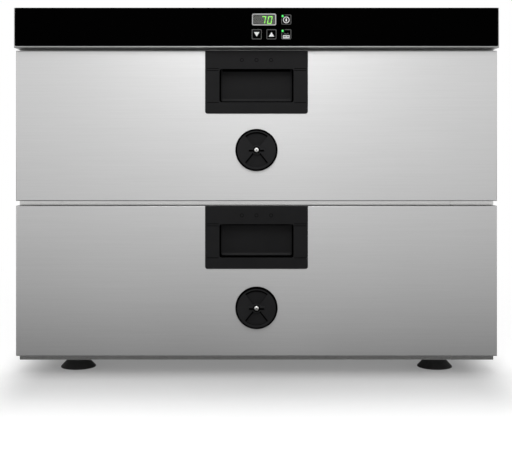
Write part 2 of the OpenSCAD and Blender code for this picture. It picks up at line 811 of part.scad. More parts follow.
// The gland that the mains lead would come through
module cable_gland() {
    flange_r = gland_thread_r + gland_nut_over;
    flange_t = 5;
    inside = 12;
    slope = [3, 5];  // of the cap's end: inward and along
    color([0.1, 0.1, 0.1]) translate([gland_x, y_rear, gland_z]) rotate([-90, 0, 0]) difference() {
        union() {
            translate([0, 0, -inside]) cylinder(r = gland_thread_r, h = inside);
            cylinder(r = flange_r / cos(30), h = flange_t, $fn = 6);
            translate([0, 0, flange_t]) rotate_extrude() polygon([
                [0, 0], [flange_r - 1, 0], [flange_r - 1, gland_out - flange_t - slope[1]],
                [flange_r - 1 - slope[0], gland_out - flange_t], [0, gland_out - flange_t]
            ]);
        }
        translate([0, 0, -inside - eps]) cylinder(r = gland_bore / 2, h = inside + gland_out + 2 * eps);
    }
}

gland_nut_over = 4; // of the nut and the flange over the thread

module gland_nut() {
    nut_t = 5;
    color([0.1, 0.1, 0.1])
        translate([gland_x, y_rear - sheet_t, gland_z]) rotate([90, 0, 0]) difference() {
            cylinder(r = (gland_thread_r + gland_nut_over) / cos(30), h = nut_t, $fn = 6);
            translate([0, 0, -eps]) cylinder(r = gland_thread_r + slip, h = nut_t + 2 * eps);
        }
}

module earth_stud() {
    head_r = stud_d;
    head_t = 3;
    collar_t = 1.5;
    out = 14;
    color("goldenrod") {
        bar_y(stud_x, y_rear - sheet_t - head_t, gland_z, stud_d / 2, sheet_t + head_t + out);
        bar_y(stud_x, y_rear - sheet_t - head_t, gland_z, head_r, head_t);
        bar_y(stud_x, y_rear, gland_z, head_r, collar_t);
    }
}

// ---- feet ----

foot_bolt_r = 3;
foot_xs = [-foot_x, foot_x];
foot_ys = [y_frame + foot_inset, y_rear - foot_inset];
foot_pad_h = 1.2;
foot_well_r = 8;
foot_nut_r = 5.5;
foot_nut_h = 4;
foot_bolt_tip = 6;

// Four cones with a thin rim at the floor, a neck, and a well for the screw
module rubber_feet() {
    low_bevel = 0.5;
    rim_bevel = 0.3;
    color([0.08, 0.08, 0.08]) for (x = foot_xs, y = foot_ys) translate([x, y, 0]) difference() {
        rotate_extrude() polygon([
            [0, 0], [foot_r - low_bevel, 0], [foot_r, low_bevel], [foot_r, foot_pad_h - rim_bevel],
            [foot_r - rim_bevel, foot_pad_h], [foot_top_r, foot_cone_h],
            [foot_top_r, foot_h], [0, foot_h]
        ]);
        translate([0, 0, -eps]) cylinder(r = foot_well_r, h = foot_h / 2 + eps);
        cylinder(r = foot_bolt_r + slip, h = foot_h + eps);
    }
}

module foot_screws() {
    head_h = 4;
    color("silver") for (x = foot_xs, y = foot_ys) translate([x, y, 0]) {
        translate([0, 0, foot_h / 2 - head_h]) cylinder(r = foot_well_r - 2, h = head_h);
        translate([0, 0, foot_h / 2]) cylinder(r = foot_bolt_r, h = foot_h / 2 + sheet_t + foot_bolt_tip);
        translate([0, 0, foot_h + sheet_t]) cylinder(r = foot_nut_r, h = foot_nut_h, $fn = 6);
    }
}

// Screws of the rear panel and of the outer rails
module cabinet_screws() {
    color("silver") {
        for (s = [-1, 1], z = rear_screw_side_z) rear_screw(s * rear_screw_x, z);
        for (x = rear_screw_row_x, z = rear_screw_row_z) rear_screw(x, z);
        for (s = [0, 1], z0 = [lower_z, upper_z], y = runner_screw_y) mirror([s, 0, 0]) {
            bar_x(chamber_x - runner_sheet, runner_y + y, runner_z(z0), screw_r, runner_sheet + sheet_t + 2);
            bar_x(chamber_x - runner_sheet, runner_y + y, runner_z(z0), screw_head_r, sunk_head_h);
        }
    }
}

sunk_head_h = 1; // of a flat head that is let into its rail

module rear_screw(x, z) {
    bar_y(x, y_rear - 2 * sheet_t - rear_screw_tip, z, screw_r, 2 * sheet_t + rear_screw_tip);
    bar_y(x, y_rear, z, screw_head_r, screw_head_h);
}

// ---- runners ----

// One runner section with a web at x0, flanges reaching to x1, and half height h
module channel(x0, x1, h, z) {
    flange_lo = min(x0, x1);
    web = x1 > x0 ? x0 : x0 - runner_sheet;
    block([web, runner_y, z - h], [web + runner_sheet, runner_y + runner_l, z + h]);
    for (s = [-1, 1]) {
        zf = s > 0 ? z + h - runner_sheet : z - h;
        block([flange_lo, runner_y, zf], [max(x0, x1), runner_y + runner_l, zf + runner_sheet]);
    }
}

runner_step = runner_sheet + runner_play;

// The sections fixed to the chamber wall
module outer_rails(z0) {
    z = runner_z(z0);
    color("lightsteelblue") for (s = [0, 1]) mirror([s, 0, 0]) difference() {
        channel(chamber_x, runner_x + runner_step, runner_zone, z);
        for (y = runner_screw_y) {
            bar_x(chamber_x - runner_sheet - eps, runner_y + y, z, screw_head_r + slip, sunk_head_h + slip);
            bar_x(chamber_x - runner_sheet, runner_y + y, z, screw_r + slip, 2 * runner_sheet);
        }
    }
}

// The sections that run half the way
module middle_rails(z0) {
    color("lightsteelblue") for (s = [0, 1]) mirror([s, 0, 0])
        channel(chamber_x - runner_step, runner_x + runner_step, runner_zone - runner_step, runner_z(z0));
}

// The sections fixed to the pan frame
module inner_rails(z0) {
    z = runner_z(z0);
    color("lightsteelblue") for (s = [0, 1]) mirror([s, 0, 0]) difference() {
        channel(runner_x, chamber_x - 2 * runner_step - runner_play, runner_zone - 2 * runner_step, z);
        for (y = runner_screw_y)
            bar_x(runner_x - runner_sheet, runner_y + y, z, screw_r + slip, 3 * runner_sheet);
    }
}

// ---- drawers ----

// Cutter for the handle cup, grown by a gap
module cup_space(zt, gap) {
    hw = recess_w / 2 + cup_wall + gap;
    upright(y_face - eps, cup_back + gap + eps)
        round_rect([-hw, zt - cup_bottom - cup_wall - gap], [hw, zt - cup_top + cup_wall + gap], recess_r);
}

module front_skin(z0, vent_drop) {
    zt = z0 + front_h;
    color("silver") difference() {
        folded_block(half_w, y_face, y_back, z0, zt, front_edge_r);
        block([front_sheet_t - half_w, y_face + front_sheet_t, z0 + front_sheet_t],
            [half_w - front_sheet_t, y_back + eps, zt - front_sheet_t]);
        cup_space(zt, slip);
        bar_y(0, y_face - eps, zt - vent_drop, vent_tube_r + slip, front_t);
    }
}

// Screws through the pan frame and the liner: four into the liner and two into the cup
function front_screws(z0) = [
    for (s = [-1, 1], d = front_screw_zs) [s * front_screw_x, rim_z(z0) - d]
];
function cup_screws(z0) = [for (s = [-1, 1]) [s * boss_x, z0 + front_h - boss_drop]];

module front_liner(z0, vent_drop) {
    edge = half_w - front_sheet_t - slip;
    color("gainsboro") difference() {
        block([-edge, y_back - front_sheet_t, z0 + front_sheet_t + slip],
            [edge, y_back, z0 + front_h - front_sheet_t - slip]);
        bar_y(0, y_face, z0 + front_h - vent_drop, vent_tube_r + slip, 2 * front_t);
        for (p = concat(front_screws(z0), cup_screws(z0)))
            bar_y(p[0], y_face, p[1], screw_r + slip, 2 * front_t);
    }
}

module front_insulation(z0, vent_drop) {
    zt = z0 + front_h;
    edge = half_w - front_sheet_t - slip - fillet_room;
    color("khaki") difference() {
        block([-edge, y_face + front_sheet_t, z0 + front_sheet_t + fillet_room],
            [edge, y_back - front_sheet_t, zt - front_sheet_t - fillet_room]);
        cup_space(zt, 2 * slip);
        for (p = cup_screws(z0)) bar_y(p[0], y_face, p[1], boss_r + slip, 2 * front_t);
        for (p = front_screws(z0)) bar_y(p[0], y_face, p[1], screw_r + 2 * slip, 2 * front_t);
        bar_y(0, y_face, zt - vent_drop, vent_tube_r + slip, 2 * front_t);
    }
}
fillet_room = 1;

module door_seal(z0) {
    x = chamber_x + seal_side_gap + seal_w;
    lo = z0 + seal_inset;
    hi = z0 + front_h - seal_inset;
    color([0.15, 0.15, 0.15]) upright(y_back, seal_space - fit) difference() {
        round_rect([-x, lo], [x, hi], seal_r);
        round_rect([seal_w - x, lo + seal_w], [x - seal_w, hi - seal_w], seal_r / 2);
    }
}
seal_side_gap = 6; // from the opening of the chamber to the seal
seal_r = 6;

// The black pull: a plate on the front with a cup behind it
module handle_cup(z0) {
    zt = z0 + front_h;
    y0 = y_face - handle_proud;
    groove_depth = 0.6;
    groove_x = [recess_w / 2 + 1, handle_w / 2 - 2];
    upper_groove = [zt - handle_band - 2, zt - handle_band + 1];
    lower_groove = [zt - cup_bottom - 0.5, zt - cup_bottom + 0.5];
    color([0.14, 0.14, 0.14]) {
        difference() {
            union() {
                intersection() {
                    folded_block(handle_w / 2, y0, y_face, zt - handle_h, zt, handle_edge_r);
                    upright(y0, handle_proud) {
                        round_rect([-handle_w / 2, zt - handle_h], [handle_w / 2, zt], handle_r);
                        translate([-handle_w / 2, zt - 2 * handle_r]) square([handle_w, 2 * handle_r]);
                    }
                }
                cup_space(zt, 0);
            }
            upright(y0 - eps, handle_proud + recess_depth + eps)
                round_rect([-recess_w / 2, zt - cup_bottom], [recess_w / 2, zt - handle_band], recess_r);
            upright(y_face + grip_t, recess_depth - grip_t)
                round_rect([-recess_w / 2, zt - cup_bottom], [recess_w / 2, zt - cup_top], recess_r);
            for (s = [0, 1], g = [upper_groove, lower_groove]) mirror([s, 0, 0])
                block([groove_x[0], y0 - eps, g[0]], [groove_x[1], y0 + groove_depth, g[1]]);
            for (k = [-1 : 1])
                bar_y(k * dimple_pitch, y0 - eps, zt - dimple_drop, dimple_r, groove_depth);
        }
        for (p = cup_screws(z0)) difference() {
            bar_y(p[0], y_face + cup_back, p[1], boss_r, front_t - front_sheet_t - cup_back);
            bar_y(p[0], y_face + cup_back - eps, p[1], screw_r + slip, front_t);
        }
    }
}
dimple_pitch = 21;
dimple_drop = 13.6;
dimple_r = 2.2;

// Two opposite windows of the vent, seen from the front and turned by an angle
module vent_windows(turn, r0, r1) {
    reach = 2 * r1;
    rise = reach * tan(window_half_angle);
    rotate(turn) for (s = [0, 180]) rotate(s) intersection() {
        difference() {
            circle(r1);
            circle(r0);
        }
        polygon([[0, 0], [rise, reach], [-rise, reach]]);
    }
}

// The fixed half of the vent: a flange with two side windows and a tube through the front
module vent_base(z0, vent_drop) {
    color([0.1, 0.1, 0.1]) translate([0, 0, z0 + front_h - vent_drop]) difference() {
        union() {
            bar_y(0, y_face - vent_flange_t, 0, vent_flange_r, vent_flange_t);
            bar_y(0, y_face, 0, vent_tube_r, front_t);
            bar_y(0, y_face - vent_proud - axle_over, 0, vent_axle_r, vent_proud + axle_over);
        }
        upright(y_face + vent_web_t, front_t) difference() {
            circle(vent_tube_r - vent_tube_t);
            circle(vent_boss_r);
        }
        bar_y(0, y_face + vent_boss_l, 0, vent_boss_r + eps, front_t);
        upright(y_face - 2 * vent_flange_t, 2 * (vent_flange_t + vent_web_t))
            vent_windows(90, window_hub_r + window_lap, window_r - window_lap);
        bar_y(0, y_face - 2 * vent_proud, 0, vent_pilot_r, 2 * vent_proud + vent_pilot_depth);
    }
}
vent_web_t = 1.3;       // of the web behind the face of the front
vent_boss_r = 6;
vent_boss_l = 8;
vent_pilot_depth = 5;
window_lap = 1.5;       // by which the fixed windows are smaller than the knob's
axle_over = 0.2;        // of the axle over the face of the knob, so that the knob stays free

// The turning half of the vent
module vent_knob(z0, vent_drop) {
    back = vent_flange_t + fit;
    r = vent_knob_d / 2;
    color([0.14, 0.14, 0.14])
        translate([0, y_face, z0 + front_h - vent_drop]) rotate([90, 0, 0]) difference() {
            union() {
                rotate_extrude() {
                    translate([0, back]) square([r - knob_edge_r, knob_plate_t]);
                    translate([0, back]) square([r, knob_plate_t - knob_edge_r]);
                    translate([r - knob_edge_r, vent_proud - knob_edge_r]) circle(knob_edge_r);
                    translate([vent_flange_r + fit, fit]) square([r - vent_flange_r - fit, back]);
                }
                translate([0, 0, vent_proud - eps]) linear_extrude(knob_rise + eps) {
                    circle(hub_r);
                    round_box(2 * wing_l, wing_h, 1);
                }
            }
            translate([0, 0, back - eps]) linear_extrude(vent_proud) vent_windows(0, window_hub_r, window_r);
            translate([0, 0, -eps]) cylinder(r = vent_axle_r + fit, h = 2 * vent_proud);
            translate([0, 0, vent_proud + axle_over - eps])
                cylinder(r = vent_screw_d / 2 + fit, h = vent_proud);
        }
}

module vent_screw(z0, vent_drop) {
    head_y = y_face - vent_proud - axle_over;
    color("whitesmoke") translate([0, 0, z0 + front_h - vent_drop]) difference() {
        union() {
            bar_y(0, head_y - vent_head_h, 0, vent_screw_d / 2, vent_head_h);
            bar_y(0, head_y, 0, vent_pilot_r - fit / 2, vent_proud + vent_pilot_depth - 1);
        }
        bar_y(0, head_y - vent_head_h - eps, 0, vent_drive_r, vent_head_h / 2);
    }
}
vent_head_h = 2;
vent_drive_r = 0.9; // of the round drive hole in the screw's head

// The frame that the pan hangs in, between the runners
module pan_frame(z0) {
    top = rim_z(z0) - slip;
    side_lo = runner_z(z0) - runner_zone + runner_step;
    color("silver") difference() {
        union() {
            for (s = [0, 1]) mirror([s, 0, 0])
                block([plate_x, y_back, side_lo], [runner_x, frame_back, top]);
            block([-plate_x, y_back, side_lo], [plate_x, y_back + frame_t, top]);
            block([-plate_x, frame_back - frame_t, side_lo], [plate_x, frame_back, top]);
            block([-plate_x, y_back, top - frame_t], [plate_x, frame_back, top]);
        }
        block([-pan_seat_x, pan_y + pan_rim - seat_ease, top - 2 * frame_t],
            [pan_seat_x, pan_y + pan_d - pan_rim + seat_ease, top + eps]);
        for (p = concat(front_screws(z0), cup_screws(z0)))
            bar_y(p[0], y_back - eps, p[1], screw_r + slip, 2 * frame_t);
        for (s = [-1, 1], y = runner_screw_y)
            bar_x(s * plate_x - 2 * frame_t, runner_y + y, runner_z(z0), screw_r + slip, 4 * frame_t);
    }
}
seat_ease = 1;
pan_seat_x = pan_w / 2 - pan_rim + seat_ease;

// The catering pan: a round-cornered tub with a flat rim
module pan(z0) {
    bottom = z0 + pan_lift;
    w = pan_w - 2 * pan_rim;
    d = pan_d - 2 * pan_rim;
    color("lightgray") translate([0, pan_y + pan_d / 2, bottom]) {
        difference() {
            tub(w, d, pan_h - pan_t, pan_corner_r, pan_floor_r);
            translate([0, 0, pan_t])
                tub(w - 2 * pan_t, d - 2 * pan_t, pan_h, pan_corner_r - pan_t, pan_floor_r - pan_t);
        }
        translate([0, 0, pan_h - pan_t]) linear_extrude(pan_t) difference() {
            round_box(pan_w, pan_d, pan_rim_r);
            round_box(w - 2 * pan_t, d - 2 * pan_t, pan_corner_r - pan_t);
        }
    }
}
pan_rim_r = 14;

// A solid with upright corners of radius r and floor edges of radius f, up to height h
module tub(w, d, h, r, f) {
    intersection() {
        linear_extrude(h) round_box(w, d, r);
        translate([0, d / 2, 0]) rotate([90, 0, 0]) linear_extrude(d) round_keel(w, h, f);
        translate([-w / 2, 0, 0]) rotate([90, 0, 90]) linear_extrude(w) round_keel(d, h, f);
    }
}

// An outline with round lower corners
module round_keel(w, h, f) {
    translate([-w / 2, f]) square([w, h - f]);
    translate([f - w / 2, 0]) square([w - 2 * f, h]);
    for (s = [-1, 1]) translate([s * (w / 2 - f), f]) circle(f);
}

module drawer_screws(z0) {
    color("silver") {
        for (p = front_screws(z0)) drawer_screw(p, front_sheet_t + 2);
        for (p = cup_screws(z0)) drawer_screw(p, front_t - cup_back);
        for (s = [0, 1], y = runner_screw_y) mirror([s, 0, 0]) {
            bar_x(plate_x, runner_y + y, runner_z(z0), screw_r, frame_t + runner_sheet + 1);
            bar_x(plate_x - low_head_h, runner_y + y, runner_z(z0), screw_head_r, low_head_h);
        }
    }
}

low_head_h = 1.5; // of a screw head beside the pan

// A screw from the inside of the drawer, through the pan frame, reaching into the front
module drawer_screw(p, reach) {
    bar_y(p[0], y_back - reach, p[1], screw_r, reach + frame_t);
    bar_y(p[0], y_back + frame_t, p[1], screw_head_r, screw_head_h);
}

// ---- nodes ----

mirror([1, 0, 0]) side_panel();  // left_side_panel
side_panel();  // right_side_panel
top_panel();
base_panel();
rear_panel();
front_frame();
heated_chamber();
insulation_slabs();
heating_cable();
temperature_probe();
safety_thermostat();
component_tray();
control_fascia();
membrane_overlay();
display_bezel();
display_window();
display_module();
status_leds();
control_board();
power_relay();
terminal_block();
wiring_loom();
cable_gland();
gland_nut();
earth_stud();
rubber_feet();
foot_screws();
cabinet_screws();
outer_rails(upper_z);  // upper_outer_rails
outer_rails(lower_z);  // lower_outer_rails
key(key_places[0], false);  // key_down
key(key_places[1], false);  // key_up
key(key_places[2], true);  // key_power
key(key_places[3], true);  // key_function
middle_rails(upper_z);  // upper_middle_rails
middle_rails(lower_z);  // lower_middle_rails
front_skin(upper_z, upper_vent_drop);  // upper_front_skin
front_liner(upper_z, upper_vent_drop);  // upper_front_liner
front_insulation(upper_z, upper_vent_drop);  // upper_front_insulation
door_seal(upper_z);  // upper_seal
handle_cup(upper_z);  // upper_handle_cup
vent_base(upper_z, upper_vent_drop);  // upper_vent_base
vent_screw(upper_z, upper_vent_drop);  // upper_vent_screw
pan_frame(upper_z);  // upper_pan_frame
pan(upper_z);  // upper_pan
inner_rails(upper_z);  // upper_inner_rails
drawer_screws(upper_z);  // upper_drawer_screws
vent_knob(upper_z, upper_vent_drop);  // upper_vent_knob
front_skin(lower_z, lower_vent_drop);  // lower_front_skin
front_liner(lower_z, lower_vent_drop);  // lower_front_liner
front_insulation(lower_z, lower_vent_drop);  // lower_front_insulation
door_seal(lower_z);  // lower_seal
handle_cup(lower_z);  // lower_handle_cup
vent_base(lower_z, lower_vent_drop);  // lower_vent_base
vent_screw(lower_z, lower_vent_drop);  // lower_vent_screw
pan_frame(lower_z);  // lower_pan_frame
pan(lower_z);  // lower_pan
inner_rails(lower_z);  // lower_inner_rails
drawer_screws(lower_z);  // lower_drawer_screws
vent_knob(lower_z, lower_vent_drop);  // lower_vent_knob
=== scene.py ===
"""Countertop warming drawer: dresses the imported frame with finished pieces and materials,
and sets up the studio and the camera of the product picture.

Lengths in the mesh code are in millimetres, in the frame of the CAD: X to the right, Y to
the back, Z up. They become metres when a piece is made. Properties are in metres."""

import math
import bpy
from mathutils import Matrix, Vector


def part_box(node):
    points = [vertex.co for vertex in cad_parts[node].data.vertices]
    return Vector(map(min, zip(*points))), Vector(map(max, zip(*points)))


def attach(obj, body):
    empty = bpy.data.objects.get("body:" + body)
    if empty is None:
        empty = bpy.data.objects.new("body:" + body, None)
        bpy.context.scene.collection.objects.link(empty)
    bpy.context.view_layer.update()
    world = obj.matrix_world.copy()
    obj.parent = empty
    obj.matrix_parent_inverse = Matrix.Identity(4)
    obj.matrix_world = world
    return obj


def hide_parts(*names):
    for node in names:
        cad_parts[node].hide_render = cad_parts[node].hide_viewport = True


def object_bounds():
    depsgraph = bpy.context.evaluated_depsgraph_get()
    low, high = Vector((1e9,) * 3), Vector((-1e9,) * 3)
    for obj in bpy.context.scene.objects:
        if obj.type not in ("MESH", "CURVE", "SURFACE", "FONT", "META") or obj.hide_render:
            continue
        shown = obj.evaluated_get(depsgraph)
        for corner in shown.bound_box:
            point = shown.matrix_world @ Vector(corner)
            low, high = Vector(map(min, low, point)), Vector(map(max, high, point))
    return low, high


bl_info = {
    "name": "Countertop warming drawer",
    "version": (1, 0, 0),
    "blender": (4, 5, 0),
    "location": "3D Viewport > Sidebar > Warming drawer",
    "description": "Finished pieces, materials and studio for a warming drawer",
    "category": "Object",
}

import bmesh
import bpy
from bpy.props import FloatProperty, FloatVectorProperty, IntProperty, PointerProperty
from mathutils import Vector

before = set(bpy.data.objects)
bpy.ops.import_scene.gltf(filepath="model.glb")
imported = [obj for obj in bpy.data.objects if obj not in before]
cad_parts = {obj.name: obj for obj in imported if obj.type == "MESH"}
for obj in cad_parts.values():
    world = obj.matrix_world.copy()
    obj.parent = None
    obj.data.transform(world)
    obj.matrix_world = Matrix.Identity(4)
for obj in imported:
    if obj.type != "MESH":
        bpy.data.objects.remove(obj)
CAD_BOX = [list(corner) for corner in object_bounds()]

MM = 0.001
ROWS = ("upper", "lower")
PICTURE_WIDTH = 512  # pixels


# ---- colours and nodes ----


def linear(code):
    """The linear RGB of an sRGB hex value."""
    values = [int(code[i : i + 2], 16) / 255 for i in (1, 3, 5)]
    return tuple(
        v / 12.92 if v <= 0.04045 else ((v + 0.055) / 1.055) ** 2.4 for v in values
    )


def shade(rgb, amount):
    """A colour made lighter or darker by a factor."""
    return tuple(min(1.0, v * amount) for v in rgb)


def opaque(rgb):
    """RGB with full alpha, for a colour socket."""
    return (*rgb[:3], 1.0)


def add_node(tree, kind, inputs=None, **settings):
    """Adds a node, sets its settings, and fills its sockets with values or links."""
    node = tree.nodes.new(kind)
    for name, value in settings.items():
        setattr(node, name, value)
    for name, value in (inputs or {}).items():
        if isinstance(value, bpy.types.NodeSocket):
            tree.links.new(value, node.inputs[name])
        else:
            node.inputs[name].default_value = value
    return node


def empty_tree(owner):
    """The node tree of a material or a world, without nodes."""
    owner.use_nodes = True
    owner.node_tree.nodes.clear()
    return owner.node_tree


def start_material(name, sockets):
    """A new material with its shader; gives the material, its tree and the shader."""
    material = bpy.data.materials.new(name)
    tree = empty_tree(material)
    shader = add_node(tree, "ShaderNodeBsdfPrincipled", sockets)
    add_node(tree, "ShaderNodeOutputMaterial", {"Surface": shader.outputs["BSDF"]})
    return material, tree, shader


def pattern(tree, per_metre, detail, roughness):
    """Noise in object space with so many features a metre, in all directions or in X, Y
    and Z."""
    if not isinstance(per_metre, tuple):
        per_metre = (per_metre,) * 3
    spot = add_node(tree, "ShaderNodeTexCoord").outputs["Object"]
    scaled = add_node(tree, "ShaderNodeMapping", {"Vector": spot, "Scale": per_metre})
    sockets = {"Vector": scaled.outputs[0], "Scale": 1.0}
    sockets.update({"Detail": detail, "Roughness": roughness})
    return add_node(tree, "ShaderNodeTexNoise", sockets).outputs["Fac"]


def span(value, low, high, start=0.3, end=0.7):
    """Sockets of a Map Range node: from low to high as noise goes from start to end."""
    return {
        "Value": value,
        "From Min": start,
        "From Max": end,
        "To Min": low,
        "To Max": high,
    }


def follow(tree, shader, colour=None, rough=None, relief=None, socket="Base Color"):
    """Lets a shader follow patterns: its colour (pattern or span, first colour, second
    colour), its roughness (pattern, low, high) and its relief (pattern, depth in mm)."""
    if colour:
        amount, first, second = colour
        if isinstance(amount, dict):
            amount = add_node(tree, "ShaderNodeMapRange", amount).outputs["Result"]
        ends = {"Factor": amount, "A": opaque(first), "B": opaque(second)}
        mix = add_node(tree, "ShaderNodeMix", ends, data_type="RGBA")
        mixed = next(o for o in mix.outputs if o.type == "RGBA" and o.enabled)
        tree.links.new(mixed, shader.inputs[socket])
    if rough:
        between = add_node(tree, "ShaderNodeMapRange", span(*rough))
        tree.links.new(between.outputs["Result"], shader.inputs["Roughness"])
    if relief:
        height, depth_mm = relief
        sockets = {"Height": height, "Distance": depth_mm * MM, "Strength": 1.0}
        raised = add_node(tree, "ShaderNodeBump", sockets)
        tree.links.new(raised.outputs["Normal"], shader.inputs["Normal"])


# ---- materials ----


def brushed_stainless(name, rgb, grain, roughness, tangent="Z", lines_mm=1.4):
    """Stainless steel 1.4301, brushed with a belt in one direction.

    The belt leaves long fine scratches: tones run along them, and reflections are drawn
    out across them. Real 240 grit lines lie 0.1 mm apart; they are drawn lines_mm apart,
    because finer ones would vanish in the picture."""
    material, tree, shader = start_material(
        name, {"Metallic": 1.0, "Anisotropic": 0.55, "Anisotropic Rotation": 0.25}
    )
    along, across = 9.0, 1 / (lines_mm * MM)
    per_metre = tuple(along if axis == grain else across for axis in "XYZ")
    lines = pattern(tree, per_metre, 4.0, 0.65)
    clouds = pattern(tree, 3.2, 2.0, 0.5)
    fine = add_node(tree, "ShaderNodeMapRange", span(lines, -0.5, 0.5))
    broad = add_node(tree, "ShaderNodeMapRange", span(clouds, 0.34, 0.66))
    tone = add_node(
        tree,
        "ShaderNodeMath",
        {0: fine.outputs["Result"], 1: 0.72, 2: broad.outputs["Result"]},
        operation="MULTIPLY_ADD",
    )
    follow(
        tree,
        shader,
        (tone.outputs[0], shade(rgb, 0.965), shade(rgb, 1.03)),
        (clouds, roughness - 0.012, roughness + 0.012),
        (lines, 0.0012),
    )
    direction = add_node(tree, "ShaderNodeTangent", direction_type="RADIAL", axis=tangent)
    tree.links.new(direction.outputs["Tangent"], shader.inputs["Tangent"])
    return material


def drawn_steel(name, rgb, roughness, spots=0.04):
    """Stainless or zinc-plated sheet with its mill finish, deep drawn or rolled.

    Rolling leaves an even sheen with faint clouds and no direction. A drawn or plated
    surface has specks of about 2 mm; spots is how much they and the clouds differ."""
    material, tree, shader = start_material(name, {"Metallic": 1.0})
    clouds = pattern(tree, 35.0, 4.0, 0.6)
    specks = pattern(tree, 500.0, 2.0, 0.5)
    follow(
        tree,
        shader,
        (span(clouds, 0.0, 1.0), shade(rgb, 1 - spots), shade(rgb, 1 + spots)),
        (clouds, roughness - 1.25 * spots, roughness + 1.75 * spots),
        (specks, 0.05 * spots),
    )
    return material


def moulded_plastic(name, rgb, roughness, specular, grain_mm=0.6, depth_mm=0.01):
    """Injection-moulded plastic whose mould was spark eroded.

    The erosion gives an even fine grain, which spreads the gloss. Its real grain of
    0.1 mm is drawn coarser, so that it shows up close."""
    material, tree, shader = start_material(
        name, {"IOR": 1.53, "Specular IOR Level": specular}
    )
    grain = pattern(tree, 1 / (grain_mm * MM), 3.0, 0.6)
    flow = pattern(tree, 40.0, 2.0, 0.5)
    follow(
        tree,
        shader,
        (span(flow, 0.0, 1.0), shade(rgb, 0.88), shade(rgb, 1.12)),
        (flow, roughness - 0.05, roughness + 0.05),
        (grain, depth_mm),
    )
    return material


def printed_film(name, rgb):
    """Polyester film, printed black on its back, with a fine matte front.

    The print is deep black, and the matte face scatters what little it reflects."""
    material, tree, shader = start_material(
        name, {"IOR": 1.6, "Specular IOR Level": 0.003}
    )
    # The matte coat's grain of 0.05 mm is drawn at 0.5 mm
    grain = pattern(tree, 2000.0, 2.0, 0.5)
    clouds = pattern(tree, 12.0, 2.0, 0.5)
    follow(
        tree,
        shader,
        (clouds, shade(rgb, 0.8), shade(rgb, 1.2)),
        (clouds, 0.36, 0.46),
        (grain, 0.002),
    )
    return material


def screen_ink(name, rgb):
    """Screen-printed ink on the film: a thin even layer with the mesh's faint texture."""
    material, tree, shader = start_material(
        name, {"IOR": 1.5, "Specular IOR Level": 0.2, "Roughness": 0.55}
    )
    threads = pattern(tree, 2500.0, 2.0, 0.5)
    follow(tree, shader, (threads, shade(rgb, 0.95), shade(rgb, 1.05)))
    return material


def lit_segment(name, rgb, strength):
    """A light-emitting chip under a diffuser: an even glow with faint cells."""
    sockets = {"Base Color": opaque(shade(rgb, 0.5)), "Roughness": 0.4, "IOR": 1.5}
    sockets["Emission Strength"] = strength
    material, tree, shader = start_material(name, sockets)
    cells = pattern(tree, 900.0, 2.0, 0.5)
    ends = (shade(rgb, 0.92), shade(rgb, 1.08))
    follow(tree, shader, (cells, *ends), socket="Emission Color")
    return material


def display_lens(name, rgb):
    """Clear acrylic lens with a slight smoke tint, polished on both faces."""
    sockets = {"Base Color": opaque(rgb), "IOR": 1.49, "Specular IOR Level": 0.3}
    sockets["Transmission Weight"] = 1.0
    material, tree, shader = start_material(name, sockets)
    smears = pattern(tree, 60.0, 3.0, 0.5)
    follow(tree, shader, rough=(smears, 0.03, 0.09))
    return material


def moulded_rubber(name, rgb, roughness=0.7):
    """Vulcanised rubber from a plain mould: dull, with faint bloom and dust."""
    material, tree, shader = start_material(
        name, {"IOR": 1.52, "Specular IOR Level": 0.22}
    )
    bloom = pattern(tree, 90.0, 4.0, 0.65)
    grain = pattern(tree, 1400.0, 2.0, 0.5)
    follow(
        tree,
        shader,
        (span(bloom, 0.0, 1.0), shade(rgb, 0.8), shade(rgb, 1.3)),
        (bloom, roughness - 0.06, roughness + 0.08),
        (grain, 0.02),
    )
    return material


def turned_metal(name, rgb, roughness):
    """Turned brass or steel: rings from the lathe, a soft bright gloss."""
    material, tree, shader = start_material(name, {"Metallic": 1.0, "Anisotropic": 0.3})
    rings = pattern(tree, (1200.0, 2600.0, 1200.0), 3.0, 0.6)
    follow(
        tree,
        shader,
        (span(rings, 0.0, 1.0), shade(rgb, 0.9), shade(rgb, 1.06)),
        (rings, roughness - 0.04, roughness + 0.08),
        (rings, 0.004),
    )
    return material


def mineral_wool(name, rgb):
    """Stone wool batt, cut to size: matted fibres about 0.5 mm apart in loose layers."""
    material, tree, shader = start_material(
        name, {"Roughness": 0.95, "Specular IOR Level": 0.1, "Sheen Weight": 0.2}
    )
    fibres = pattern(tree, (250.0, 250.0, 2000.0), 5.0, 0.7)
    layers = pattern(tree, (18.0, 18.0, 160.0), 3.0, 0.5)
    both = add_node(tree, "ShaderNodeMath", {0: fibres, 1: layers}, operation="MULTIPLY")
    tone = span(both.outputs[0], 0.0, 1.0, 0.12, 0.4)
    follow(tree, shader, (tone, shade(rgb, 0.7), shade(rgb, 1.2)), relief=(fibres, 0.4))
    return material


def circuit_board(name, rgb):
    """Glass-fibre board under solder resist: woven squares of 1 mm show through."""
    material, tree, shader = start_material(
        name, {"IOR": 1.55, "Roughness": 0.3, "Specular IOR Level": 0.5}
    )
    spot = add_node(tree, "ShaderNodeTexCoord").outputs["Object"]
    squares = {"Vector": spot, "Scale": 1000.0}
    squares.update({"Color1": opaque(shade(rgb, 0.85)), "Color2": opaque(shade(rgb, 1.1))})
    weave = add_node(tree, "ShaderNodeTexChecker", squares)
    tree.links.new(weave.outputs["Color"], shader.inputs["Base Color"])
    follow(tree, shader, relief=(weave.outputs["Fac"], 0.01))
    return material


# ---- properties ----

COLOUR = {"subtype": "COLOR", "min": 0.0, "max": 1.0}
LENGTH = {"unit": "LENGTH"}
POWER = {"unit": "POWER", "min": 0.0, "max": 500.0}
SHARE = {"min": 0.0, "max": 1.0}


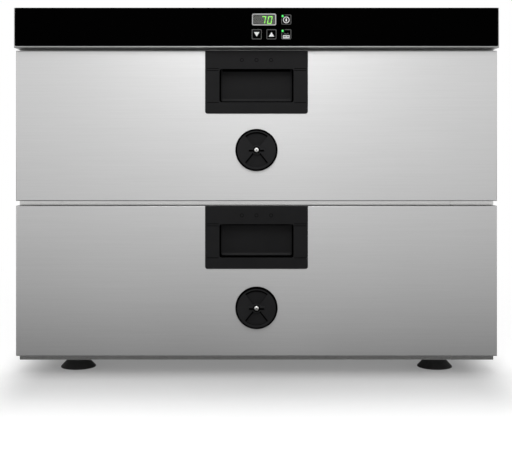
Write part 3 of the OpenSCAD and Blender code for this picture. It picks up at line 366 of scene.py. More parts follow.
class WARMDRAWER_PG_finishes(bpy.types.PropertyGroup):
    """Colours of the surfaces."""

    front_steel: FloatVectorProperty(
        name="Front steel",
        description="Brushed stainless steel of the drawer fronts and the cabinet",
        default=linear("#D0D0D0"),
        **COLOUR,
    )
    inner_steel: FloatVectorProperty(
        name="Inner steel",
        description="Mill-finished stainless steel of the chamber, pans and frames",
        default=linear("#C9C9C8"),
        **COLOUR,
    )
    runner_zinc: FloatVectorProperty(
        name="Runner zinc",
        description="Zinc plating of the runners and screws",
        default=linear("#B9BDC2"),
        **COLOUR,
    )
    handle_black: FloatVectorProperty(
        name="Handle black",
        description="Moulded black plastic of the pulls and the vents",
        default=linear("#181819"),
        **COLOUR,
    )
    film_black: FloatVectorProperty(
        name="Film black",
        description="Printed film of the fascia and its keys",
        default=linear("#010101"),
        **COLOUR,
    )
    segment_green: FloatVectorProperty(
        name="Segment green",
        description="Lit segments of the display",
        default=linear("#8CF552"),
        **COLOUR,
    )
    light_green: FloatVectorProperty(
        name="Light green",
        description="Status lights",
        default=linear("#4CF46A"),
        **COLOUR,
    )
    rubber_black: FloatVectorProperty(
        name="Rubber black",
        description="Rubber of the feet",
        default=linear("#2C2C2C"),
        **COLOUR,
    )


class WARMDRAWER_PG_pull(bpy.types.PropertyGroup):
    """Sizes of the recessed pulls."""

    edge_radius: FloatProperty(
        name="Edge radius",
        description="Rounding of the plate's front edge",
        default=0.9 * MM,
        min=0.1 * MM,
        max=1.2 * MM,
        **LENGTH,
    )
    cup_fillet: FloatProperty(
        name="Cup fillet",
        description="Rounding between the cup's walls and its back",
        default=6.0 * MM,
        min=0.5 * MM,
        max=8.0 * MM,
        **LENGTH,
    )
    groove_width: FloatProperty(
        name="Groove width",
        description="Width of the parting grooves beside the recess",
        default=0.8 * MM,
        min=0.3 * MM,
        max=2.0 * MM,
        **LENGTH,
    )
    groove_depth: FloatProperty(
        name="Groove depth",
        description="Depth of the parting grooves",
        default=1.1 * MM,
        min=0.1 * MM,
        max=1.2 * MM,
        **LENGTH,
    )


class WARMDRAWER_PG_display(bpy.types.PropertyGroup):
    """Sizes of the display's digits."""

    digit_height: FloatProperty(
        name="Digit height",
        description="Height of a digit",
        default=10.8 * MM,
        min=6 * MM,
        max=11 * MM,
        **LENGTH,
    )
    segment_width: FloatProperty(
        name="Segment width",
        description="Width of a segment",
        default=1.25 * MM,
        min=0.5 * MM,
        max=2 * MM,
        **LENGTH,
    )
    slant: FloatProperty(
        name="Slant",
        description="How far the digits lean to the right",
        subtype="ANGLE",
        default=math.radians(10.5),
        min=0.0,
        max=math.radians(15),
    )
    tens: IntProperty(
        name="Tens", description="First lit digit", default=7, min=0, max=9
    )
    units: IntProperty(
        name="Units", description="Second lit digit", default=0, min=0, max=9
    )


class WARMDRAWER_PG_stage(bpy.types.PropertyGroup):
    """The studio: the camera, the lamps, the floor with its painted shadow, and the dark
    sheet of painted reflection.
    """

    lens: FloatProperty(
        name="Lens",
        description="Focal length on a 36 mm sensor, from the picture's perspective",
        unit="CAMERA",
        default=69.3,
        min=20.0,
        max=200.0,
    )
    camera_distance: FloatProperty(
        name="Camera distance",
        description="From the origin to the camera",
        default=1.670,
        min=0.5,
        max=6.0,
        **LENGTH,
    )
    camera_height: FloatProperty(
        name="Camera height",
        description="Height of the camera over the floor",
        default=0.327,
        min=0.0,
        max=2.0,
        **LENGTH,
    )
    key_power: FloatProperty(
        name="Key lamp",
        description="Power of the large lamp above the camera",
        default=17.6,
        **POWER,
    )
    fill_power: FloatProperty(
        name="Side lamps",
        description="Power of the lamp at the left; the right one has three quarters",
        default=3.4,
        **POWER,
    )
    rear_power: FloatProperty(
        name="Rear lamp",
        description="Power of the lamp behind the object",
        default=3.2,
        **POWER,
    )
    sky: FloatProperty(
        name="Room light",
        description="Level of the even light from all sides",
        default=0.5,
        min=0.0,
        max=2.0,
    )
    # The glow is lower under and near the object than further out: a painted shadow on the
    # floor
    floor_glow: FloatProperty(
        name="Floor glow",
        description="How much more the white floor glows near the object than under it",
        default=0.44,
        **SHARE,
    )
    glow_under: FloatProperty(
        name="Glow under",
        description="How much the white floor glows under the object",
        default=0.17,
        **SHARE,
    )
    glow_reach: FloatProperty(
        name="Glow reach",
        description="Distance from the object at which the glow is whole",
        default=0.25,
        min=0.01,
        max=2.0,
        **LENGTH,
    )
    # The flag is a sheet seen only in reflections: a painted reflection in the steel
    flag_distance: FloatProperty(
        name="Flag distance",
        description="From the origin to the far edge of the dark cloth",
        default=2.1,
        min=0.5,
        max=6.0,
        **LENGTH,
    )
    flag_height: FloatProperty(
        name="Flag height",
        description="Height of the dark cloth's far edge",
        default=0.13,
        min=0.05,
        max=2.0,
        **LENGTH,
    )
    flag_near_tone: FloatProperty(
        name="Flag near tone",
        description="How bright the dark cloth is beside the object",
        default=0.086,
        **SHARE,
    )
    flag_far_tone: FloatProperty(
        name="Flag far tone",
        description="How bright the dark cloth is at its far edge",
        default=0.66,
        **SHARE,
    )


# ---- mesh tools, in millimetres ----

SMOOTH_ANGLE = 32  # degrees; sharper folds keep a hard edge
WELD_MM = 0.01
TRUE_FLAT = 0.4  # degrees between faces that become one
LEAST_RADIUS = 0.02


def rounded_rectangle(x0, z0, x1, z1, radii, steps=5):
    """Points (x, z) round a rectangle from its lower left corner, counter-clockwise.
    radii holds one radius for each corner in that order, or is one number."""
    if not isinstance(radii, (tuple, list)):
        radii = (radii,) * 4
    corners = ((x0, z0, 180), (x1, z0, 270), (x1, z1, 0), (x0, z1, 90))
    inward = ((1, 1), (-1, 1), (-1, -1), (1, -1))
    points = []
    for (x, z, start), (sx, sz), r in zip(corners, inward, radii):
        r = max(r, LEAST_RADIUS)
        for k in range(steps + 1):
            angle = math.radians(start + 90 * k / steps)
            u, v = r * math.cos(angle), r * math.sin(angle)
            points.append((x + sx * r + u, z + sz * r + v))
    return points


def inset_rectangle(rectangle, inset, radii):
    """A rounded rectangle inside another (x0, z0, x1, z1), or round it below 0."""
    x0, z0, x1, z1 = rectangle
    return rounded_rectangle(x0 + inset, z0 + inset, x1 - inset, z1 - inset, radii)


def facing(outline, y):
    """An outline in X and Z at the depth y."""
    return [Vector((x, y, z)) for x, z in outline]


def around(outline, x, z):
    """An outline moved to the middle (x, z)."""
    return [(x + u, z + v) for u, v in outline]


def ring_outline(radius, count, scallops=0, depth=0.0):
    """Points (x, z) of a circle, scalloped for grip where scallops isn't 0."""
    points = []
    for k in range(count):
        angle = 2 * math.pi * k / count
        r = radius - depth * (0.5 - 0.5 * math.cos(scallops * angle))
        points.append((r * math.cos(angle), r * math.sin(angle)))
    return points


def quarter(radius):
    """Steps of a quarter round: how far each lies in from the edge, and how far back."""
    angles = [math.radians(a) for a in (0, 22.5, 45, 67.5, 90)]
    return [(radius * (1 - math.cos(a)), radius * (1 - math.sin(a))) for a in angles]


def loft(bm, loops, join_ends=False):
    """Quads between loops with the same number of points, closed by caps or by joining
    the last loop to the first. Gives the faces of each strip between two loops."""
    rings = [[bm.verts.new(p) for p in loop] for loop in loops]
    pairs = list(zip(rings, rings[1:]))
    if join_ends:
        pairs.append((rings[-1], rings[0]))
    strips = []
    for a, b in pairs:
        strips.append([])
        for k in range(len(a)):
            n = (k + 1) % len(a)
            strips[-1].append(bm.faces.new((a[k], a[n], b[n], b[k])))
    if not join_ends:
        bm.faces.new(rings[0])
        bm.faces.new(rings[-1])
    return strips


def lathe(bm, profile, count, axis, at):
    """Turns a closed profile of (radius, height) points round an axis. Points on the
    axis become one point each. Gives the faces of each strip between two points."""
    rings = []
    for radius, height in profile:
        ring = []
        for k in range(1 if radius < 1e-6 else count):
            angle = 2 * math.pi * k / count
            u, v = radius * math.cos(angle), radius * math.sin(angle)
            spot = {"Z": (u, v, height), "Y": (u, height, v), "X": (height, u, v)}
            ring.append(bm.verts.new(Vector(spot[axis]) + Vector(at)))
        rings.append(ring)
    strips = []
    for a, b in zip(rings, rings[1:] + rings[:1]):
        strips.append([])
        if len(a) == 1 and len(b) == 1:
            continue
        for k in range(count):
            n = (k + 1) % count
            if len(a) == 1:
                corners = (a[0], b[n], b[k])
            elif len(b) == 1:
                corners = (a[k], a[n], b[0])
            else:
                corners = (a[k], a[n], b[n], b[k])
            strips[-1].append(bm.faces.new(corners))
    return strips


def use_second(strips):
    """Gives strips of faces the second material of their piece."""
    for strip in strips:
        for face in strip:
            face.material_index = 1


def slab(bm, points, y0, y1):
    """A flat shape in X and Z between two depths."""
    loft(bm, [facing(points, y0), facing(points, y1)])


def bar(bm, low, high, ease=0.15):
    """A block between two corners with its long edges eased."""
    (x0, y0, z0), (x1, y1, z1) = low, high
    slab(bm, rounded_rectangle(x0, z0, x1, z1, ease, 2), y0, y1)


def finished_mesh(name, bm):
    """A mesh in metres from the solid in a bmesh, with its normals outward."""
    bmesh.ops.recalc_face_normals(bm, faces=bm.faces)
    bmesh.ops.scale(bm, vec=(MM, MM, MM), verts=bm.verts)
    mesh = bpy.data.meshes.new(name)
    bm.to_mesh(mesh)
    bm.free()
    return mesh


def add_object(name, data):
    """A new object in the scene."""
    item = bpy.data.objects.new(name, data)
    bpy.context.scene.collection.objects.link(item)
    return item


def make_piece(name, bm, material, body, stands_for=(), changes=()):
    """Makes a piece that rides on its body. Each change is a solid and DIFFERENCE or
    UNION: it is cut from the piece or joined to it."""
    piece = add_object(name, finished_mesh(name, bm))
    settle(piece, material, body, stands_for)
    for solid, operation in changes:
        carve(piece, solid, operation)
    if changes:
        settle(piece, material, body)


def settle(piece, material, body, stands_for=(), angle=SMOOTH_ANGLE):
    """Shades a piece, gives it its material or materials and its place in the frame."""
    slots = piece.data.materials
    for k, one in enumerate(material if isinstance(material, tuple) else (material,)):
        # Clearing the slots would forget which faces have the second material
        if k < len(slots):
            slots[k] = one
        else:
            slots.append(one)
    piece.data.shade_smooth()
    piece.data.set_sharp_from_angle(angle=math.radians(angle))
    if not piece.modifiers:
        flatten_shading(piece)
    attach(piece, body)
    if stands_for:
        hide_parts(*stands_for)


def flatten_shading(piece):
    """Lets the large faces set the shading, so that flat ones look flat."""
    normals = piece.modifiers.new("normals", "WEIGHTED_NORMAL")
    normals.weight, normals.keep_sharp = 80, True


def carve(piece, solid, operation):
    """Cuts a piece with, or joins it to, the solid in a bmesh, and keeps the result."""
    mesh = finished_mesh("cutter", solid)
    cutter = add_object("cutter", mesh)
    piece.modifiers.clear()
    step = piece.modifiers.new("carve", "BOOLEAN")
    step.object, step.operation, step.solver = cutter, operation, "EXACT"
    keep_modifiers(piece)
    bpy.data.objects.remove(cutter)
    bpy.data.meshes.remove(mesh)


def keep_modifiers(piece):
    """Makes the result of a piece's modifiers its mesh."""
    bpy.context.view_layer.update()
    seen = piece.evaluated_get(bpy.context.evaluated_depsgraph_get())
    result = bpy.data.meshes.new_from_object(seen)
    old = piece.data
    piece.modifiers.clear()
    piece.data = result
    result.name = piece.name
    bpy.data.meshes.remove(old)


def geometry_group(name, build):
    """The geometry node group of that name. On first use build adds its nodes: it takes
    the group and the mesh's socket, and gives the result's."""
    group = bpy.data.node_groups.get(name)
    if not group:
        group = bpy.data.node_groups.new(name, "GeometryNodeTree")
        for way in ("INPUT", "OUTPUT"):
            group.interface.new_socket(
                "Geometry", in_out=way, socket_type="NodeSocketGeometry"
            )
        start = add_node(group, "NodeGroupInput")
        add_node(group, "NodeGroupOutput", {0: build(group, start.outputs[0])})
    return group


def smooth_by_angle(group, mesh):
    """Nodes that shade a mesh smooth, except at its sharp folds."""
    fold = add_node(group, "GeometryNodeInputMeshEdgeAngle").outputs["Unsigned Angle"]
    sockets = {0: fold, 1: math.radians(SMOOTH_ANGLE)}
    flat = add_node(group, "FunctionNodeCompare", sockets, operation="LESS_EQUAL")
    sockets = {"Geometry": mesh, "Shade Smooth": flat.outputs["Result"]}
    edges = add_node(group, "GeometryNodeSetShadeSmooth", sockets, domain="EDGE")
    sockets = {"Geometry": edges.outputs[0], "Shade Smooth": True}
    faces = add_node(group, "GeometryNodeSetShadeSmooth", sockets, domain="FACE")
    return faces.outputs[0]


def finish_faces(piece, material, ahead=True):
    """Gives the faces of a CAD node that look to the front, or all others, another
    material."""

    def build(group, mesh):
        normal = add_node(group, "GeometryNodeInputNormal").outputs["Normal"]
        parts = add_node(group, "ShaderNodeSeparateXYZ", {0: normal})
        chosen = add_node(
            group,
            "FunctionNodeCompare",
            {0: parts.outputs["Y"], 1: -0.95},
            operation="LESS_THAN" if ahead else "GREATER_THAN",
        )
        sockets = {"Geometry": mesh, "Selection": chosen.outputs["Result"]}
        sockets["Material"] = material
        return add_node(group, "GeometryNodeSetMaterial", sockets).outputs[0]

    name = "faces_" + ("ahead_" if ahead else "aside_") + material.name
    group = geometry_group(name, build)
    piece.modifiers.new("second_finish", "NODES").node_group = group


def ease_edges(piece, width_mm, segments):
    """Joins the triangles of a CAD mesh and, where a width is given, rounds its sharp
    edges."""
    piece.modifiers.new("weld", "WELD").merge_threshold = WELD_MM * MM
    if width_mm:
        flat = piece.modifiers.new("flat", "DECIMATE")
        flat.decimate_type, flat.angle_limit = "DISSOLVE", math.radians(TRUE_FLAT)
        edge = piece.modifiers.new("edge", "BEVEL")
        edge.width, edge.segments = width_mm * MM, segments
        edge.limit_method, edge.angle_limit = "ANGLE", math.radians(50)


def dress(node, material, edge_mm):
    """Gives a CAD node its material, eased edges where asked, and smooth shading."""
    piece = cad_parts[node]
    piece.data.materials.clear()
    piece.data.materials.append(material)
    ease_edges(piece, edge_mm, 2)
    shading = piece.modifiers.new("shading", "NODES")
    shading.node_group = geometry_group("smooth_by_angle", smooth_by_angle)
    flatten_shading(piece)


def box_mm(node):
    """Lowest and highest corner of a CAD node, in millimetres."""
    return [[v / MM for v in corner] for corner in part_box(node)]


# ---- materials of this object ----


def finish(name):
    """The material of that name, made on first use."""
    material = bpy.data.materials.get(name)
    if material:
        return material
    colours = bpy.context.scene.warm_drawer_finishes
    steel, inner = colours.front_steel, colours.inner_steel
    zinc, black = colours.runner_zinc, colours.handle_black
    makers = {
        "brushed_steel_front": (brushed_stainless, steel, "X", 0.33),
        "brushed_steel_cabinet": (brushed_stainless, steel, "Y", 0.36),
        "brushed_steel_top": (brushed_stainless, steel, "X", 0.36, "Y"),
        "brushed_steel_rear": (brushed_stainless, steel, "X", 0.38),
        "bright_annealed_steel": (drawn_steel, linear("#D6D6D5"), 0.22, 0.008),
        # Painted shade: the folded edges of a front get a steel of half the front's tone,
        # for the dark lines that shade draws along its edges
        "folded_steel_edge": (drawn_steel, shade(steel, 0.5), 0.4, 0.02),
        # Painted shade: the fascia is a darker copy of the front steel, for its strip over
        # the upper front, which lies in shade
        "satin_steel_fascia": (brushed_stainless, shade(steel, 0.68), "X", 0.4),
        "mill_steel_chamber": (drawn_steel, inner, 0.42),
        "deep_drawn_steel_pan": (drawn_steel, steel, 0.3, 0.012),
        "zinc_plated_runner": (drawn_steel, zinc, 0.34, 0.08),
        "zinc_plated_screw": (turned_metal, zinc, 0.28),
        "stainless_screw": (turned_metal, linear("#DCDCDA"), 0.22),
        "abs_black": (moulded_plastic, black, 0.5, 0.12),
        "abs_black_knob": (moulded_plastic, shade(black, 1.45), 0.5, 0.12),
        "abs_black_recess": (moulded_plastic, shade(black, 1.2), 0.55, 0.1),
        # Painted shade: a near-black for the cup's walls, grooves, rims, window edges and
        # sockets, where shade falls
        "abs_black_groove": (moulded_plastic, linear("#030303"), 0.8, 0.0),
        "abs_bezel_grey": (moulded_plastic, linear("#C4C4C4"), 0.35, 0.5, 0.4, 0.004),
        "display_face": (moulded_plastic, linear("#4A4A47"), 0.6, 0.2, 0.5, 0.004),
        "unlit_segment": (moulded_plastic, linear("#53534E"), 0.6, 0.2, 0.5, 0.002),
        "polyamide_black": (moulded_plastic, linear("#1B1B1C"), 0.45, 0.4),
        "phenolic_black": (moulded_plastic, linear("#222021"), 0.4, 0.4),
        "relay_plastic": (moulded_plastic, linear("#1E2024"), 0.3, 0.5),
        "terminal_plastic": (moulded_plastic, linear("#D9D8CF"), 0.4, 0.5),
        "polyester_film_black": (printed_film, colours.film_black),
        "white_ink": (screen_ink, linear("#FFFFFF")),
        "grey_ink": (screen_ink, linear("#6A6A6A")),
        "pale_ink": (screen_ink, linear("#DEDEDE")),
        "segment_lit": (lit_segment, colours.segment_green, 1.1),
        "status_light": (lit_segment, colours.light_green, 1.0),
        "status_light_rim": (moulded_plastic, linear("#1E5A2C"), 0.4, 0.3),
        "acrylic_lens": (display_lens, linear("#EDEEEB")),
        "rubber_foot": (moulded_rubber, colours.rubber_black),
        "silicone_seal": (moulded_rubber, linear("#2A2A2B"), 0.55),
        "silicone_cable_red": (moulded_rubber, linear("#8C2A22"), 0.5),
        "silicone_lead_brown": (moulded_rubber, linear("#6B4630"), 0.5),
        "turned_brass": (turned_metal, linear("#C9A25E"), 0.25),
        "stone_wool": (mineral_wool, linear("#B9AC77")),
        "glass_fibre_board": (circuit_board, linear("#1F5A35")),
    }
    maker, *values = makers[name]
    return maker(name, *values)


# ---- stage ----

FLOOR_LINES = (-30.0, -3.0, -0.8, 0.0, 0.8, 3.0, 30.0)  # metres
FLOOR_WHITE = (0.15, 1.2)  # metres from the object where the floor turns white
SHADOW_FADE = (2.5, 1.0, 0.0)  # the painted shadow of the floor's glow fades faster to the sides than to the front
SHADOW_INSET = 0.045  # the painted shadow starts so far inside the sides, at the feet
FLAG_NEAR = -0.262  # Y of the cloth's near edge, just before the fronts
FLAG_HALF_WIDTH = 2.6
WHITE = (1.0, 1.0, 1.0, 1.0)


class WARMDRAWER_OT_stage(bpy.types.Operator):
    """Floor, lamps, room light and camera of the product picture"""

    bl_idname = "warm_drawer.stage"
    bl_label = "Stage"

    def execute(self, context):
        stage = context.scene.warm_drawer_stage
        context.scene.view_settings.view_transform = "Standard"
        self.add_camera(context, stage)
        self.add_floor(stage)
        self.add_flag(stage)
        self.add_world(context, stage)
        self.add_lamps(stage)
        return {"FINISHED"}

    def add_camera(self, context, stage):
        """The camera looks level at the front. Its optical axis meets the picture half a
        pixel right of the middle and 77 pixels above it, which the shift gives."""
        data = bpy.data.cameras.new("picture_camera")
        data.lens = stage.lens
        data.sensor_width = 36.0
        data.shift_x = -0.5 / PICTURE_WIDTH
        data.shift_y = -77 / PICTURE_WIDTH
        data.clip_start = 0.05
        camera = add_object("picture_camera", data)
        camera.location = (0.0, -stage.camera_distance, stage.camera_height)
        camera.rotation_euler = (math.radians(90), 0.0, 0.0)
        context.scene.camera = camera

    def sheet(self, name, rows, material):
        """A sheet of the studio through rows of points in metres; gives its object and
        the empty node tree of its material."""
        bm = bmesh.new()
        rows = [[bm.verts.new(point) for point in row] for row in rows]
        for a, b in zip(rows, rows[1:]):
            for k in range(len(a) - 1):
                bm.faces.new((a[k], a[k + 1], b[k + 1], b[k]))
        mesh = bpy.data.meshes.new(name)
        bm.to_mesh(mesh)
        bm.free()
        sheet = add_object(name, mesh)
        mesh.materials.append(bpy.data.materials.new(material))
        return sheet, empty_tree(mesh.materials[0])

    def add_floor(self, stage):
        """A pale floor that takes the object's shadow. To the camera and in reflections it
        glows, least under the object and more with distance from it, which paints a soft
        shadow round the object over the real one; far away it is white."""
        rows = [[(x, y, 0.0) for x in FLOOR_LINES] for y in FLOOR_LINES]
        _, tree = self.sheet("studio_floor", rows, "painted_floor")
        colour = {"Color": opaque(linear("#CBCBCB"))}
        paint = add_node(tree, "ShaderNodeBsdfDiffuse", colour).outputs[0]
        away = distance_from_object(tree)
        low, high = stage.glow_under, stage.glow_under + stage.floor_glow
        ranges = (
            span(away, low, high, 0.0, stage.glow_reach),
            span(away, 0.0, 1.0, *FLOOR_WHITE),
        )
        near, far = (
            add_node(
                tree, "ShaderNodeMapRange", sockets, interpolation_type="SMOOTHSTEP"
            ).outputs["Result"]
            for sockets in ranges
        )
        glow = add_node(tree, "ShaderNodeEmission", {"Strength": near})
        both = add_node(tree, "ShaderNodeAddShader", {0: paint, 1: glow.outputs[0]})
        white = add_node(tree, "ShaderNodeEmission", {"Strength": 1.0})
        sockets = {0: far, 1: both.outputs[0], 2: white.outputs[0]}
        shown = add_node(tree, "ShaderNodeMixShader", sockets)
        sockets = {0: seen_directly(tree), 1: paint, 2: shown.outputs[0]}
        out = add_node(tree, "ShaderNodeMixShader", sockets)
        add_node(tree, "ShaderNodeOutputMaterial", {"Surface": out.outputs[0]})

    def add_flag(self, stage):
        """A dark sheet before the object, with its far edge lifted, which glows faintly
        near the object and more at its far edge. It shows only in reflections: a painted
        reflection that gives the steel its darker lower half."""
        far, top = -stage.flag_distance, stage.flag_height
        path = ((FLAG_NEAR, 0.004), (far + 0.25, 0.004), (far + 0.06, 0.03), (far, top))
        rows = [[(x, y, z) for x in (-FLAG_HALF_WIDTH, FLAG_HALF_WIDTH)] for y, z in path]
        flag, tree = self.sheet("studio_flag", rows, "painted_reflection_cloth")
        for ray in ("camera", "diffuse", "shadow", "transmission", "volume_scatter"):
            setattr(flag, "visible_" + ray, False)
        spot = add_node(tree, "ShaderNodeTexCoord").outputs["Object"]
        split = add_node(tree, "ShaderNodeSeparateXYZ", {"Vector": spot})
        tones = (stage.flag_near_tone, stage.flag_far_tone)
        sockets = span(split.outputs["Y"], *tones, FLAG_NEAR, far)
        tone = add_node(tree, "ShaderNodeMapRange", sockets).outputs["Result"]
        cloth = add_node(tree, "ShaderNodeEmission", {"Strength": tone})
        add_node(tree, "ShaderNodeOutputMaterial", {"Surface": cloth.outputs[0]})

    def add_world(self, context, stage):
        """White to the camera and in reflections, and an even room light otherwise."""
        world = bpy.data.worlds.new("studio_room")
        tree = empty_tree(world)
        room, white = (
            add_node(tree, "ShaderNodeBackground", {"Color": WHITE, "Strength": level})
            for level in (stage.sky, 1.0)
        )
        sockets = {0: seen_directly(tree), 1: room.outputs[0], 2: white.outputs[0]}
        out = add_node(tree, "ShaderNodeMixShader", sockets)
        add_node(tree, "ShaderNodeOutputWorld", {"Surface": out.outputs[0]})
        context.scene.world = world

    def add_lamps(self, stage):
        """A wide soft lamp above the camera, one at each side and one at the back, each
        with its place, its target, its width and height and its power."""
        side, aim = stage.fill_power, (0.0, 0.0, 0.3)
        lamps = {
            "key_lamp": ((0.0, -2.0, 1.75), (0.0, 0.0, 0.25), 0.8, 1.2, stage.key_power),
            "side_lamp_left": ((-2.4, -0.3, 1.3), aim, 1.6, 1.4, side),
            "side_lamp_right": ((2.4, -0.3, 1.3), aim, 1.6, 1.4, side * 0.75),
            "rear_lamp": ((0.0, 2.4, 1.8), (0.0, 0.0, 0.2), 2.2, 1.2, stage.rear_power),
        }
        for name, (spot, target, width, height, power) in lamps.items():
            data = bpy.data.lights.new(name, "AREA")
            data.shape = "RECTANGLE"
            data.size, data.size_y = width, height
            data.energy = power
            lamp = add_object(name, data)
            lamp.location = spot
            way = Vector(target) - Vector(spot)
            lamp.rotation_euler = way.to_track_quat("-Z", "Y").to_euler()


def distance_from_object(tree):
    """How far a point of the floor lies outside the object's footprint, in metres,
    stretched to the sides: it sets the floor's painted shadow.
    """
    half = (CAD_BOX[1][0] - SHADOW_INSET, CAD_BOX[1][1], 1.0)
    steps = {
        "ABSOLUTE": {},
        "SUBTRACT": {1: half},
        "MAXIMUM": {1: (0.0, 0.0, 0.0)},
        "MULTIPLY": {1: SHADOW_FADE},
    }
    vector = add_node(tree, "ShaderNodeTexCoord").outputs["Object"]
    for operation, other in steps.items():
        sockets = {0: vector, **other}
        node = add_node(tree, "ShaderNodeVectorMath", sockets, operation=operation)
        vector = node.outputs["Vector"]
    node = add_node(tree, "ShaderNodeVectorMath", {0: vector}, operation="LENGTH")
    return node.outputs["Value"]


def seen_directly(tree):
    """1 for rays from the camera, in reflections and through glass, else 0."""
    path = add_node(tree, "ShaderNodeLightPath")
    most = path.outputs["Is Camera Ray"]
    for ray in ("Is Glossy Ray", "Is Transmission Ray"):
        sockets = {0: most, 1: path.outputs[ray]}
        most = add_node(tree, "ShaderNodeMath", sockets, operation="MAXIMUM").outputs[0]
    return most


# ---- pieces ----

PULL_SCREWS = (-35.0, 35.0)  # X of the two screws of a pull
PULL_SCREW_DROP = 50.0  # from the top of a front down to them
SCREW_HEAD = 3.9  # radius
SCREW_HEAD_HEIGHT = 2.2


class WARMDRAWER_OT_sheet_metal(bpy.types.Operator):
    """Finishes of the cabinet, the drawer fronts and all other CAD pieces that stay"""

    bl_idname = "warm_drawer.sheet_metal"
    bl_label = "Sheet metal and inner pieces"

    def execute(self, context):
        # Each node's finish, and the width of its eased edges in millimetres
        plain = {
            "left_side_panel": ("brushed_steel_cabinet", 0.3),
            "right_side_panel": ("brushed_steel_cabinet", 0.3),
            "top_panel": ("brushed_steel_top", 0.3),
            "base_panel": ("brushed_steel_top", 0.2),
            "rear_panel": ("brushed_steel_rear", 0.2),
            "front_frame": ("bright_annealed_steel", 0.2),
            # The fascia's darker steel is painted shade
            "control_fascia": ("satin_steel_fascia", 0.0),
            "component_tray": ("mill_steel_chamber", 0.2),
            "heated_chamber": ("mill_steel_chamber", 0.0),
            "membrane_overlay": ("polyester_film_black", 0.0),
            "heating_cable": ("silicone_cable_red", 0.0),
            "wiring_loom": ("silicone_lead_brown", 0.0),
            "temperature_probe": ("stainless_screw", 0.0),
            "safety_thermostat": ("phenolic_black", 0.3),
            "power_relay": ("relay_plastic", 0.3),
            "terminal_block": ("terminal_plastic", 0.4),
            "control_board": ("glass_fibre_board", 0.0),
            "display_window": ("acrylic_lens", 0.0),
            "display_module": ("display_face", 0.0),
            "foot_screws": ("zinc_plated_screw", 0.2),
            "gland_nut": ("polyamide_black", 0.4),
        }
        for key in ("key_down", "key_up", "key_power", "key_function"):
            plain[key] = ("polyester_film_black", 0.0)
        for row in ROWS:
            plain[row + "_front_skin"] = ("brushed_steel_front", 0.0)
            plain[row + "_front_liner"] = ("mill_steel_chamber", 0.0)
            plain[row + "_vent_base"] = ("abs_black_recess", 0.0)
            plain[row + "_pan_frame"] = ("mill_steel_chamber", 0.2)
            plain[row + "_pan"] = ("deep_drawn_steel_pan", 0.0)
            for part in ("_outer_rails", "_middle_rails", "_inner_rails"):
                plain[row + part] = ("zinc_plated_runner", 0.25)
        for node, (material, edge_mm) in plain.items():
            dress(node, finish(material), edge_mm)
        # Seen between the fronts, the side panels' flanges and the frame are one face
        for node in ("left_side_panel", "right_side_panel", "top_panel", "base_panel"):
            finish_faces(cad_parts[node], finish("bright_annealed_steel"))
        # The folded edges of the fronts take the darker steel: painted shade
        for row in ROWS:
            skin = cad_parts[row + "_front_skin"]
            finish_faces(skin, finish("folded_steel_edge"), ahead=False)
        return {"FINISHED"}


